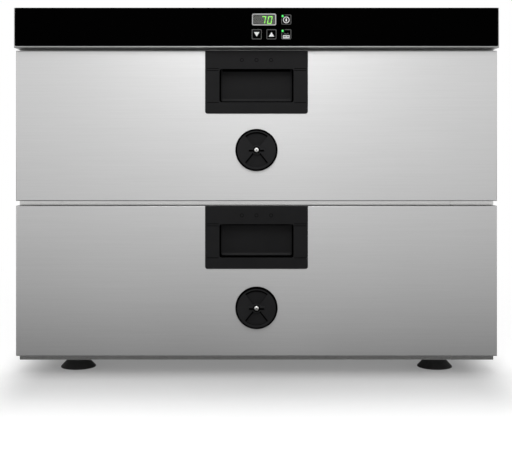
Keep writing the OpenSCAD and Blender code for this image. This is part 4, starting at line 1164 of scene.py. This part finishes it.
class WARMDRAWER_OT_pulls(bpy.types.Operator):
    """The black pull of each drawer: a plate with a recess and finger room behind it"""

    bl_idname = "warm_drawer.pulls"
    bl_label = "Pulls"

    plate_rise = 1.5  # from the drawer front to the plate's face
    recess_half = 53.0  # half the recess's width
    # How far under the top of the pull things lie
    recess_foot = 74.1
    band_foot = 26.5
    room_ceiling = 12.5
    groove_drops = (25.7, 28.6, 74.4)
    ring_drop = 13.6
    cup_wall = 2.0
    cup_depth = 15.5

    def execute(self, context):
        sizes = context.scene.warm_drawer_pull
        for row in ROWS:
            self.make(row, sizes)
        return {"FINISHED"}

    def make(self, row, sizes):
        """The plate with its recess, the finger room over it and the cup behind it, in
        one loft from the cup's back round the plate to the inside of the cup."""
        (x0, y0, z0), (x1, _, top) = box_mm(row + "_handle_cup")
        face = y0 + self.plate_rise
        back = face + self.cup_depth
        half, foot = self.recess_half, top - self.recess_foot
        recess = (-half, foot, half, top - self.band_foot)
        room = (-half, foot, half, top - self.room_ceiling)
        wall = self.cup_wall
        cup = inset_rectangle(room, -wall, 3.0)

        def plate(inset):
            radii = (max(3.5 - inset, 0.3),) * 2 + (0.5, 0.5)
            return inset_rectangle((x0, z0, x1, top), inset, radii)

        loops = [facing(cup, back + wall), facing(cup, face), facing(plate(0.0), face)]
        for inset, rise in quarter(sizes.edge_radius / MM):
            loops.append(facing(plate(inset), y0 + rise))
        for out, depth in ((0.5, 0.0), (0.15, 0.12), (0.0, 0.45)):
            loops.append(facing(inset_rectangle(recess, -out, 3.0 + out), y0 + depth))
        rim = len(loops) - 1
        for shape in (recess, room):
            loops.append(facing(inset_rectangle(shape, 0, 3.0), face + wall))
        for inset, rise in quarter(sizes.cup_fillet / MM):
            loops.append(facing(inset_rectangle(room, inset, 3.0), back - rise))
        bm = bmesh.new()
        strips = loft(bm, loops)
        # Painted shade: the walls of the cup and the steep half of its fillet take the
        # near-black
        use_second(strips[rim : rim + 5])
        # Painted shadow: just under the band, the cup's back takes the near-black
        painted_shadow_patch = bmesh.new()
        bar(painted_shadow_patch, (-49.0, back - 5.0, top - 28.9), (49.0, back + 0.08, top - 18.0))
        use_second([painted_shadow_patch.faces])
        bosses = bmesh.new()
        for x in PULL_SCREWS:
            profile = [(2.2, 17.4), (5.2, 17.4), (5.0, 18.0), (5.0, 18.9), (2.2, 18.9)]
            lathe(bosses, profile, 32, "Y", (x, face, top - PULL_SCREW_DROP))
        make_piece(
            row + "_pull",
            bm,
            (finish("abs_black"), finish("abs_black_groove")),
            row + "_drawer",
            [row + "_handle_cup"],
            [
                (self.grooves(y0, top, x1, sizes), "DIFFERENCE"),
                (painted_shadow_patch, "DIFFERENCE"),
                (bosses, "UNION"),
            ],
        )

    def grooves(self, y0, top, x1, sizes):
        """Parting grooves beside the recess, and three plain rings in the band."""
        half = sizes.groove_width / MM / 2
        depth = sizes.groove_depth / MM
        cutter = bmesh.new()
        for side in (-1, 1):
            start, end = sorted((side * (self.recess_half + 1.0), side * (x1 - 2.4)))
            for drop in self.groove_drops:
                low = (start, y0 - 0.5, top - drop - half)
                bar(cutter, low, (end, y0 + depth, top - drop + half), 0.1)
        ring = [(2.0, -0.5), (2.6, -0.5), (2.6, 0.5), (2.0, 0.5)]
        for x in (-21.0, 0.0, 21.0):
            lathe(cutter, ring, 28, "Y", (x, y0, top - self.ring_drop))
        # The grooves and rings take the near-black: painted shade in them
        use_second([cutter.faces])
        return cutter


class WARMDRAWER_OT_vents(bpy.types.Operator):
    """The turning knob of each steam vent, and the screw in its middle"""

    bl_idname = "warm_drawer.vents"
    bl_label = "Vents"

    hub_rise = 6.8  # from the drawer front to the hub's wings
    disc_rise = 6.0  # from the drawer front to the knob's disc
    rim_radius = 2.6
    window_outer = 24.0
    window_inner = 6.8
    window_half_angle = 38.5

    def execute(self, context):
        for row in ROWS:
            (x0, y0, z0), (x1, _, z1) = box_mm(row + "_vent_knob")
            radius, middle = (x1 - x0) / 2, (z0 + z1) / 2
            face = y0 + self.hub_rise
            self.knob(row, radius, face, middle)
            self.screw(row, face, middle)
        return {"FINISHED"}

    def knob(self, row, radius, face, middle):
        """A disc with a rounded rim, a hub with two wings, and two steam windows."""
        profile = [(3.0, -4.0), (28.3, -4.0), (28.3, -0.3), (radius - 0.3, -0.3)]
        profile += [(radius, -0.6)]
        for inset, rise in quarter(self.rim_radius):
            profile.append((radius - inset, rise - self.disc_rise))
        profile += [(6.9, -6.0), (6.45, -6.2), (6.2, -6.7), (5.9, -6.8), (4.9, -6.8)]
        profile += [(4.15, -6.5), (4.1, -6.2), (3.0, -6.2)]
        bm, wings, cuts = bmesh.new(), bmesh.new(), bmesh.new()
        strips = lathe(bm, profile, 96, "Y", (0.0, face, middle))
        # Painted shade: the rounded rim and the seat of the screw take the near-black
        use_second(strips[4:9] + strips[14:17])
        for side in (-1, 1):
            inner, outer = sorted((side * 5.0, side * 12.0))
            wing = (inner, middle - 2.3, outer, middle + 2.3)
            slim = (inner + 0.4, middle - 1.8, outer - 0.4, middle + 1.8)
            wide = rounded_rectangle(*wing, 1.0)
            loops = [facing(wide, face - 5.5), facing(wide, face - 6.4)]
            loft(wings, loops + [facing(rounded_rectangle(*slim, 0.7), face - 6.78)])
        # Slots under the wings, in the near-black: painted shadows under the wings
        for side in (-1, 1):
            inner, outer = sorted((side * 4.4, side * 10.8))
            slot = rounded_rectangle(inner, middle - 2.0, outer, middle + 0.3, 0.8)
            slab(cuts, slot, face - 7.5, face - 6.1)
        # The upper window is chamfered along its arc, the lower one along its sides, and
        # the chamfers take the near-black: painted shadows of light from above
        for turn, arc, side in ((90, 1.7, 0.05), (270, 0.1, 1.7)):
            loops = []
            for share, y in ((1.0, -8.0), (1.0, -6.0), (0.0, -5.4), (0.0, -3.8)):
                outline = self.window(turn, share * arc, share * side)
                loops.append(facing(around(outline, 0.0, middle), face + y))
            loft(cuts, loops)
        use_second([cuts.faces])
        make_piece(
            row + "_vent_turner",
            bm,
            (finish("abs_black_knob"), finish("abs_black_groove")),
            row + "_knob",
            [row + "_vent_knob"],
            [(wings, "UNION"), (cuts, "DIFFERENCE")],
        )

    def window(self, turn, arc, side):
        """Outline of a steam window, larger by arc at its outer arc and by side at its
        sides."""
        points, steps = [], 26
        for radius, way in ((self.window_outer + arc, 1), (self.window_inner, -1)):
            reach = self.window_half_angle + math.degrees(side / radius)
            for k in range(steps + 1):
                a = math.radians(turn + way * reach * (2 * k / steps - 1))
                points.append((radius * math.cos(a), radius * math.sin(a)))
        return points

    def screw(self, row, face, middle):
        """A domed screw with a small hexagon socket; its pin sits in the axle."""
        profile = [(0.0, -8.2), (2.2, -8.13), (2.9, -7.9), (3.25, -7.5), (3.35, -7.0)]
        profile += [(3.35, -6.2), (1.15, -6.2), (1.15, 3.5), (0.7, 3.8), (0.0, 3.8)]
        bm, drive = bmesh.new(), bmesh.new()
        lathe(bm, profile, 40, "Y", (0.0, face, middle))
        hexagon = [(0.0, -1.0), (1.0, -1.0), (0.85, 0.9), (0.0, 1.2)]
        lathe(drive, hexagon, 6, "Y", (0.0, face - 8.2, middle))
        # The hexagon socket takes the near-black: painted shade
        use_second([drive.faces])
        make_piece(
            row + "_vent_screw_head",
            bm,
            (finish("stainless_screw"), finish("abs_black_groove")),
            row + "_drawer",
            [row + "_vent_screw"],
            [(drive, "DIFFERENCE")],
        )


class WARMDRAWER_OT_display(bpy.types.Operator):
    """Bezel and digits of the display"""

    bl_idname = "warm_drawer.display"
    bl_label = "Display"

    # The segments of each digit, lettered clockwise from the top, with g in the middle
    lit = ("abcdef", "bc", "abged", "abgcd", "fgbc")
    lit += ("afgcd", "afgedc", "abc", "abcdefg", "abfgcd")
    digit_pitch = 9.2
    digit_proportion = 0.58  # width over height
    digits_right = 11.3  # from the middle of the module to the last digit's right edge
    digits_drop = 0.5

    def execute(self, context):
        self.bezel()
        self.digits(context.scene.warm_drawer_display)
        return {"FINISHED"}

    def bezel(self):
        """A frame round the window that stands out of the film."""
        (x0, front, z0), (x1, back, z1) = box_mm("display_bezel")
        film = box_mm("membrane_overlay")[0][1]
        # Inset, corner radius and depth of each loop, from the back round the outside
        steps = (
            (1.0, 1.2, back),
            (1.0, 1.2, film),
            (0.0, 2.4, film),
            (0.0, 2.4, front + 0.4),
            (0.15, 2.3, front + 0.2),
            (0.45, 2.0, front + 0.06),
            (0.9, 1.6, front),
            (1.3, 1.3, front + 0.06),
            (1.65, 1.0, front + 0.25),
            (2.0, 0.6, film + 0.3),
            (2.0, 0.6, back),
        )
        loops = []
        for inset, radius, y in steps:
            loops.append(facing(inset_rectangle((x0, z0, x1, z1), inset, radius), y))
        bm = bmesh.new()
        strips = loft(bm, loops, join_ends=True)
        use_second(strips[8:10])  # the sharp inner edge
        grey = (finish("abs_bezel_grey"), finish("abs_black"))
        bezel = ["display_bezel"]
        make_piece("display_bezel_ring", bm, grey, "cabinet", bezel)

    def digits(self, sizes):
        """Three seven-segment digits; the last two are lit."""
        (x0, y0, z0), (x1, _, z1) = box_mm("display_module")
        y = y0 - 0.09
        height, width = sizes.digit_height / MM, sizes.segment_width / MM
        wide = height * self.digit_proportion
        lean = math.tan(sizes.slant)
        middle = (z0 + z1) / 2 - self.digits_drop
        last_left = (x0 + x1) / 2 + self.digits_right - wide
        bright, dull = bmesh.new(), bmesh.new()
        for place, value in enumerate((None, sizes.tens, sizes.units)):
            left = last_left - (2 - place) * self.digit_pitch
            for letter in "abcdefg":
                on = value is not None and letter in self.lit[value]
                outline = segment_outline(letter, wide, height, width)
                points = [(left + u + lean * v, middle + v) for u, v in outline]
                slab(bright if on else dull, points, y, y + 0.05)
        glowing, dark = finish("segment_lit"), finish("unlit_segment")
        make_piece("display_digits", bright, glowing, "cabinet")
        make_piece("display_digits_unlit", dull, dark, "cabinet")


def segment_outline(letter, wide, height, width):
    """The outline of one segment, in a digit whose middle line is at 0."""
    h, w, gap = height / 2, width, 0.1
    if letter == "g":
        low, high = gap + w / 2, wide - gap - w / 2
        points = [(low, 0.0), (low + w / 2, -w / 2), (high - w / 2, -w / 2)]
        points += [(high, 0.0), (high - w / 2, w / 2), (low + w / 2, w / 2)]
    elif letter in "ad":
        # The upper bar; the lower one is its mirror image
        points = [(gap, h), (gap + w, h - w), (wide - gap - w, h - w), (wide - gap, h)]
    else:
        # The upper right bar; the others are its mirror images
        points = [(wide, h - gap), (wide, gap + w / 2), (wide - w / 2, gap)]
        points += [(wide - w, gap + w / 2), (wide - w, h - gap - w)]
    if letter in "fe":
        points = [(wide - u, v) for u, v in points]
    if letter in "cde":
        points = [(u, -v) for u, v in points]
    return points


class WARMDRAWER_OT_keys(bpy.types.Operator):
    """Printed frames and signs of the keys, and the status lights"""

    bl_idname = "warm_drawer.keys"
    bl_label = "Keys and lights"

    print_t = 0.06  # thickness of the print over the film
    line_inset = 1.15  # from the edge of a key's flange to its printed line
    line_width = 0.85

    def execute(self, context):
        self.key_frame("key_down")
        self.key_frame("key_up")
        self.key_frame("key_power", notched=True)
        self.key_frame("key_function", notched=True)
        self.arrow("key_down", -1)
        self.arrow("key_up", 1)
        self.power_sign()
        self.function_sign()
        self.lights()
        return {"FINISHED"}

    def middle(self, key):
        """Middle of a key's face, which is square and stands at the front of its node."""
        (x0, y0, z0), (x1, _, z1) = box_mm(key)
        return (x0 + x1) / 2, y0, (z0 + z1) / 2

    def band(self, bm, outer, inner, y):
        """A printed line between two outlines."""
        front = y - self.print_t
        steps = ((outer, y), (outer, front), (inner, front), (inner, y))
        loft(bm, [facing(*step) for step in steps], join_ends=True)

    def sign(self, name, bm, material, key, changes=()):
        """A printed sign that moves with its key."""
        make_piece(name, bm, finish(material), key, changes=changes)

    def key_frame(self, key, notched=False):
        """A thin grey line inside the edge of a key."""
        x, y, z = self.middle(key)
        (x0, _, _), (x1, _, _) = box_mm(key)
        half = (x1 - x0) / 2 - self.line_inset
        square = (x - half, z - half, x + half, z + half)
        bm = bmesh.new()
        outer = inset_rectangle(square, 0.0, 1.4)
        self.band(bm, outer, inset_rectangle(square, self.line_width, 0.8), y)
        changes = []
        if notched:
            # The line leaves the status light free
            notch = bmesh.new()
            profile = [(0.0, -1.0), (3.6, -1.0), (3.6, 1.0), (0.0, 1.0)]
            lathe(notch, profile, 40, "Y", (x - 5.2, y, z + 4.9))
            changes.append((notch, "DIFFERENCE"))
        self.sign(key + "_line", bm, "grey_ink", key, changes)

    def arrow(self, key, way):
        """A filled triangle that points up or down."""
        x, y, z = self.middle(key)
        half, rise = 3.95, way * 3.25
        bm = bmesh.new()
        corners = around([(-half, -rise), (half, -rise), (0.0, rise)], x, z)
        slab(bm, eased(corners, 0.35), y - self.print_t, y)
        self.sign(key + "_arrow", bm, "white_ink", key)

    def power_sign(self):
        """A ring round a short bar, the usual sign for a switch."""
        x, y, z = self.middle("key_power")
        z -= 0.5
        bm = bmesh.new()
        outer, inner = (around(ring_outline(r, 64), x, z) for r in (4.6, 3.65))
        self.band(bm, outer, inner, y)
        drop = [(0.0, -2.7), (0.95, -1.35), (1.05, 0.0), (0.8, 1.35), (0.0, 2.7)]
        drop += [(-u, v) for u, v in reversed(drop[1:-1])]
        slab(bm, around(drop, x, z), y - self.print_t, y)
        self.sign("key_power_sign", bm, "white_ink", "key_power")

    def function_sign(self):
        """A wave over a box with two slots: warm air over a drawer."""
        x, y, z = self.middle("key_function")
        front = y - self.print_t
        bm = bmesh.new()
        # The box is built round its two slots
        low, high, half = z - 5.9, z - 1.1, 4.8
        slot_low, slot_high = z - 3.9, z - 2.9
        for x0, x1, z0, z1 in (
            (-half, half, low, slot_low),
            (-half, half, slot_high, high),
            (-half, -half + 1.0, slot_low, slot_high),
            (-0.5, 0.5, slot_low, slot_high),
            (half - 1.0, half, slot_low, slot_high),
        ):
            slab(bm, rounded_rectangle(x + x0, z0, x + x1, z1, 0.1, 2), front, y)
        wave, count = [], 32
        for offset, steps in ((0.4, range(count + 1)), (-0.4, range(count, -1, -1))):
            for k in steps:
                lift = 0.6 * math.sin(3 * math.pi * k / count) + offset
                wave.append((7.2 * k / count - 3.6, lift))
        wave_bm = bmesh.new()
        slab(wave_bm, around(wave, x, z + 0.9), front, y)
        self.sign("key_function_sign", bm, "pale_ink", "key_function")
        self.sign("key_function_wave", wave_bm, "grey_ink", "key_function")

    def lights(self):
        """A domed lens for each status light."""
        (x0, y0, z0), (x1, y1, z1) = box_mm("status_leds")
        radius = (x1 - x0) / 2
        bm = bmesh.new()
        profile = [(0.0, 0.0), (0.7, 0.03), (1.4, 0.1), (radius * 0.92, 0.3)]
        profile += [(radius, 0.6), (radius, y1 - y0), (0.0, y1 - y0)]
        for z in (z0 + radius, z1 - radius):
            strips = lathe(bm, profile, 32, "Y", ((x0 + x1) / 2, y0, z))
            # The chip lights the middle of the lens
            use_second(strips[2:])
        lens = (finish("status_light"), finish("status_light_rim"))
        make_piece("status_lights", bm, lens, "cabinet", ["status_leds"])


def eased(corners, cut):
    """A polygon with each corner cut by a small facet."""
    points = []
    for k, corner in enumerate(corners):
        here = Vector(corner)
        for other in (corners[k - 1], corners[(k + 1) % len(corners)]):
            points.append(tuple(here + (Vector(other) - here).normalized() * cut))
    return points


class WARMDRAWER_OT_feet(bpy.types.Operator):
    """Four rubber feet: cones with a rim at the floor and a well for their screw"""

    bl_idname = "warm_drawer.feet"
    bl_label = "Feet"

    def execute(self, context):
        (x0, y0, _), (x1, y1, top) = box_mm("rubber_feet")
        radius = 26.0
        profile = [(8.0, 0.0), (25.3, 0.0), (25.8, 0.15), (radius, 0.5), (25.95, 0.95)]
        profile += [(25.6, 1.45), (17.9, 9.7), (17.3, 10.6), (17.0, 11.6), (17.0, 19.5)]
        profile += [(16.6, top), (3.3, top), (3.3, 10.0), (7.7, 10.0), (8.0, 9.7)]
        bm = bmesh.new()
        for x in (x0 + radius, x1 - radius):
            for y in (y0 + radius, y1 - radius):
                lathe(bm, profile, 72, "Z", (x, y, 0.0))
        rubber, feet = finish("rubber_foot"), ["rubber_feet"]
        make_piece("feet_rubber", bm, rubber, "cabinet", feet)
        return {"FINISHED"}


class WARMDRAWER_OT_seals(bpy.types.Operator):
    """The silicone seal on the back of each drawer front, with a hollow lip"""

    bl_idname = "warm_drawer.seals"
    bl_label = "Seals"

    def execute(self, context):
        for row in ROWS:
            (x0, y0, z0), (x1, y1, z1) = box_mm(row + "_seal")
            wide, thick = 10.0, y1 - y0
            section = [(0.0, 0.0), (wide, 0.0), (wide, 0.5), (wide - 1.4, 0.75)]
            section += [(wide - 2.4, 0.85 * thick), (wide - 3.6, thick), (3.6, thick)]
            section += [(2.4, 0.85 * thick), (1.4, 0.75), (0.0, 0.5)]
            loops = []
            for inset, rise in section:
                radius = max(10.5 - inset, 3.0)
                outline = inset_rectangle((x0, z0, x1, z1), inset, radius)
                loops.append(facing(outline, y0 + rise))
            bm = bmesh.new()
            loft(bm, loops, join_ends=True)
            make_piece(
                row + "_seal_lip",
                bm,
                finish("silicone_seal"),
                row + "_drawer",
                [row + "_seal"],
            )
        return {"FINISHED"}


class WARMDRAWER_OT_rear_fittings(bpy.types.Operator):
    """Cable gland and earth stud on the rear panel"""

    bl_idname = "warm_drawer.rear_fittings"
    bl_label = "Rear fittings"

    def execute(self, context):
        wall = box_mm("rear_panel")[1][1]
        self.gland(wall)
        self.stud(wall)
        return {"FINISHED"}

    def gland(self, wall):
        """A black cable gland: hexagon, ribbed cap nut and open throat."""
        (x0, y0, z0), (x1, y1, z1) = box_mm("cable_gland")
        x, z = (x0 + x1) / 2, (z0 + z1) / 2
        count, bore, thread = 96, 4.5, 8.0

        def circle(radius, y, ribs=0, depth=0.0):
            """A round loop, or one with ribs of a depth."""
            outline = ring_outline(radius, count, ribs, depth)
            return facing(around(outline, x, z), y)

        def ribbed(radius, y, depth=0.55):
            return circle(radius, y, 16, depth)

        def hexagon(flat, y):
            """A hexagon of count points whose sides lie flat from the middle."""
            points = []
            for k in range(count):
                a = 2 * math.pi * k / count
                turn = (a + math.pi / 6) % (math.pi / 3) - math.pi / 6
                reach = flat / math.cos(turn)
                points.append((reach * math.cos(a), reach * math.sin(a)))
            return facing(around(points, x, z), y)

        loops = [circle(bore, y0), circle(thread - 0.5, y0), circle(thread, y0 + 0.5)]
        loops += [circle(thread, wall), hexagon(11.6, wall), hexagon(12.0, wall + 0.4)]
        loops += [hexagon(12.0, wall + 4.6), hexagon(11.6, wall + 5.0)]
        loops += [circle(10.2, wall + 5.0), circle(10.2, wall + 5.6)]
        loops += [ribbed(10.9, wall + 5.8), ribbed(11.0, wall + 6.4)]
        loops += [ribbed(11.0, y1 - 5.6), ribbed(10.6, y1 - 4.6, 0.4)]
        loops += [circle(9.6, y1 - 2.6), circle(8.6, y1 - 1.0), circle(7.9, y1 - 0.3)]
        loops += [circle(7.0, y1), circle(5.2, y1), circle(bore + 0.2, y1 - 0.4)]
        loops += [circle(bore, y1 - 1.0)]
        bm = bmesh.new()
        loft(bm, loops, join_ends=True)
        black, node = finish("polyamide_black"), ["cable_gland"]
        make_piece("cable_gland_body", bm, black, "cabinet", node)

    def stud(self, wall):
        """An M6 brass stud with thread, collar and head."""
        (x0, y0, z0), (x1, y1, z1) = box_mm("earth_stud")
        head = (x1 - x0) / 2
        profile = [(0.0, y0), (head - 0.5, y0), (head, y0 + 0.5), (head, y0 + 2.7)]
        profile += [(head - 0.3, y0 + 3.0), (2.95, y0 + 3.0), (2.95, wall)]
        profile += [(head - 0.3, wall), (head, wall + 0.3), (head, wall + 1.2)]
        profile += [(head - 0.3, wall + 1.5), (2.6, wall + 1.5)]
        y, pitch = wall + 1.7, 1.0
        while y < y1 - 1.3:
            profile += [(2.5, y), (2.98, y + 0.4), (2.98, y + 0.6), (2.5, y + 1.0)]
            y += pitch
        profile += [(2.5, y1 - 0.4), (2.1, y1), (0.0, y1)]
        bm = bmesh.new()
        lathe(bm, profile, 40, "Y", ((x0 + x1) / 2, 0.0, (z0 + z1) / 2))
        brass, node = finish("turned_brass"), ["earth_stud"]
        make_piece("earth_stud_brass", bm, brass, "cabinet", node)


def add_screw(bm, at, way, reach, head_h=SCREW_HEAD_HEIGHT):
    """A pan-head screw. at is the seat of its head; the shank runs along way ("-Y",
    "+X" or "-X") by reach, and the head lies on the other side."""
    sign = 1 if way[0] == "+" else -1
    head_r, shank_r = SCREW_HEAD, 2.0
    profile = [(0.0, -head_h), (0.42 * head_r, -0.97 * head_h)]
    profile += [(0.72 * head_r, -0.86 * head_h), (0.92 * head_r, -0.6 * head_h)]
    profile += [(head_r, -0.3 * head_h), (head_r, 0.0), (shank_r, 0.0)]
    profile += [(shank_r, reach - 0.8), (shank_r - 0.7, reach), (0.0, reach)]
    lathe(bm, [(r, sign * h) for r, h in profile], 28, way[1], at)


def add_cross(cutter, at):
    """Adds the cross recess of a screw, whose head has its face at at, to a cutter."""
    length, width, depth = 3.6, 0.9, -1.5
    for a, b in ((length, width), (width, length)):
        outline = rounded_rectangle(-a / 2, -b / 2, a / 2, b / 2, 0.15, 2)
        small = [(u * 0.55, v * 0.55) for u, v in outline]
        loops = []
        for shape, level in ((outline, -0.6), (outline, 0.1), (small, depth)):
            loops.append([Vector(at) + spot for spot in facing(shape, level)])
        loft(cutter, loops)


class WARMDRAWER_OT_screws(bpy.types.Operator):
    """Screws of the rear panel, the runners and the drawer fronts, with cross recesses"""

    bl_idname = "warm_drawer.screws"
    bl_label = "Screws"

    rail_steps = (50.0, 200.0, 350.0)  # of the screws along a runner
    rear_columns = (-180.0, 0.0, 180.0)
    rear_step = 194.0  # between the screws at the sides of the rear panel
    seat = 268.8  # X of the inner runners' screw heads
    frame_columns = (-225.0, 225.0)
    frame_drops = (46.0, 76.0)  # of the pan frame's screws under the pan's top
    pan_rim = 0.9

    def execute(self, context):
        self.cabinet_screws()
        for row in ROWS:
            self.drawer_screws(row)
        return {"FINISHED"}

    def back_screw(self, bm, cuts, at, reach):
        """A screw whose head looks to the back, with its cross recess."""
        add_screw(bm, at, "-Y", reach)
        x, y, z = at
        add_cross(cuts, (x, y + SCREW_HEAD_HEIGHT, z))

    def rail_screws(self, bm, row, x, reach, head_h):
        """The three screws of a runner, at both sides."""
        (_, y0, z0), (_, _, z1) = box_mm(row + "_outer_rails")
        for side, way in ((-1, "-X"), (1, "+X")):
            for step in self.rail_steps:
                at = (side * x, y0 + step, (z0 + z1) / 2)
                add_screw(bm, at, way, reach, head_h)

    def make(self, bm, cuts, name, body, node):
        """The piece of all screws of one node."""
        zinc = finish("zinc_plated_screw")
        changes = [(cuts, "DIFFERENCE")]
        make_piece(name, bm, zinc, body, [node], changes)

    def cabinet_screws(self):
        """Screws of the rear panel and of the outer runners."""
        (_, _, low_wall), (_, wall, high_wall) = box_mm("rear_panel")
        (_, _, z0), (x1, _, z1) = box_mm("cabinet_screws")
        low, middle, high = z0 + SCREW_HEAD, (low_wall + high_wall) / 2, z1 - SCREW_HEAD
        edge, step = x1 - SCREW_HEAD, self.rear_step
        spots = [(x, z) for x in self.rear_columns for z in (low, high)]
        for x in (-edge, edge):
            spots += [(x, middle - step), (x, middle), (x, middle + step)]
        bm, cuts = bmesh.new(), bmesh.new()
        for x, z in spots:
            self.back_screw(bm, cuts, (x, wall, z), 6.9)
        rail = box_mm("upper_outer_rails")[1][0] - 0.5
        for row in ROWS:
            self.rail_screws(bm, row, rail, 3.4, 1.0)
        self.make(bm, cuts, "cabinet_screw_set", "cabinet", "cabinet_screws")

    def drawer_screws(self, row):
        """Screws of the pan frame, the pull and the inner runners."""
        seat = box_mm(row + "_front_liner")[1][1] + 1.5
        top = box_mm(row + "_front_skin")[1][2]
        rim = box_mm(row + "_pan")[1][2] - self.pan_rim
        spots = [(x, rim - d, 4.4) for x in self.frame_columns for d in self.frame_drops]
        spots += [(x, top - PULL_SCREW_DROP, 3.9) for x in PULL_SCREWS]
        bm, cuts = bmesh.new(), bmesh.new()
        for x, z, reach in spots:
            self.back_screw(bm, cuts, (x, seat, z), reach)
        self.rail_screws(bm, row, self.seat, 3.9, 1.5)
        node = row + "_drawer_screws"
        self.make(bm, cuts, row + "_drawer_screw_set", row + "_drawer", node)


class WARMDRAWER_OT_insulation(bpy.types.Operator):
    """Stone wool of the cabinet and of the drawer fronts, with soft cut edges"""

    bl_idname = "warm_drawer.insulation"
    bl_label = "Insulation"

    def execute(self, context):
        self.batt("insulation_slabs", "cabinet", 2.5)
        for row in ROWS:
            self.batt(row + "_front_insulation", row + "_drawer", 0.8)
        return {"FINISHED"}

    def batt(self, node, body, soft_mm):
        """A copy of the slab with rounded edges."""
        piece = add_object(node + "_wool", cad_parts[node].data.copy())
        ease_edges(piece, soft_mm, 3)
        keep_modifiers(piece)
        settle(piece, finish("stone_wool"), body, [node], 50)


# ---- panel and registration ----

STEPS = (
    WARMDRAWER_OT_stage,
    WARMDRAWER_OT_sheet_metal,
    WARMDRAWER_OT_pulls,
    WARMDRAWER_OT_vents,
    WARMDRAWER_OT_display,
    WARMDRAWER_OT_keys,
    WARMDRAWER_OT_feet,
    WARMDRAWER_OT_seals,
    WARMDRAWER_OT_rear_fittings,
    WARMDRAWER_OT_screws,
    WARMDRAWER_OT_insulation,
)

GROUPS = {
    "warm_drawer_finishes": WARMDRAWER_PG_finishes,
    "warm_drawer_pull": WARMDRAWER_PG_pull,
    "warm_drawer_display": WARMDRAWER_PG_display,
    "warm_drawer_stage": WARMDRAWER_PG_stage,
}


class WARMDRAWER_PT_sidebar(bpy.types.Panel):
    """Properties and steps of the warming drawer"""

    bl_idname = "WARMDRAWER_PT_sidebar"
    bl_label = "Warming drawer"
    bl_space_type = "VIEW_3D"
    bl_region_type = "UI"
    bl_category = "Warming drawer"

    def draw(self, context):
        for name, group in GROUPS.items():
            box = self.layout.box()
            box.label(text=name.replace("warm_drawer_", "").capitalize())
            for prop in group.__annotations__:
                box.prop(getattr(context.scene, name), prop)
        for step in STEPS:
            self.layout.operator(step.bl_idname)


def register():
    """Registers the properties, the operators and the panel."""
    for name, group in GROUPS.items():
        bpy.utils.register_class(group)
        setattr(bpy.types.Scene, name, PointerProperty(type=group))
    for step in STEPS:
        bpy.utils.register_class(step)
    bpy.utils.register_class(WARMDRAWER_PT_sidebar)


def unregister():
    """Takes back what register did."""
    bpy.utils.unregister_class(WARMDRAWER_PT_sidebar)
    for step in reversed(STEPS):
        bpy.utils.unregister_class(step)
    for name, group in GROUPS.items():
        delattr(bpy.types.Scene, name)
        bpy.utils.unregister_class(group)


def main():
    """Runs every step in order."""
    register()
    for step in STEPS:
        getattr(bpy.ops.warm_drawer, step.bl_idname.split(".")[1])()


if __name__ == "__main__":
    main()
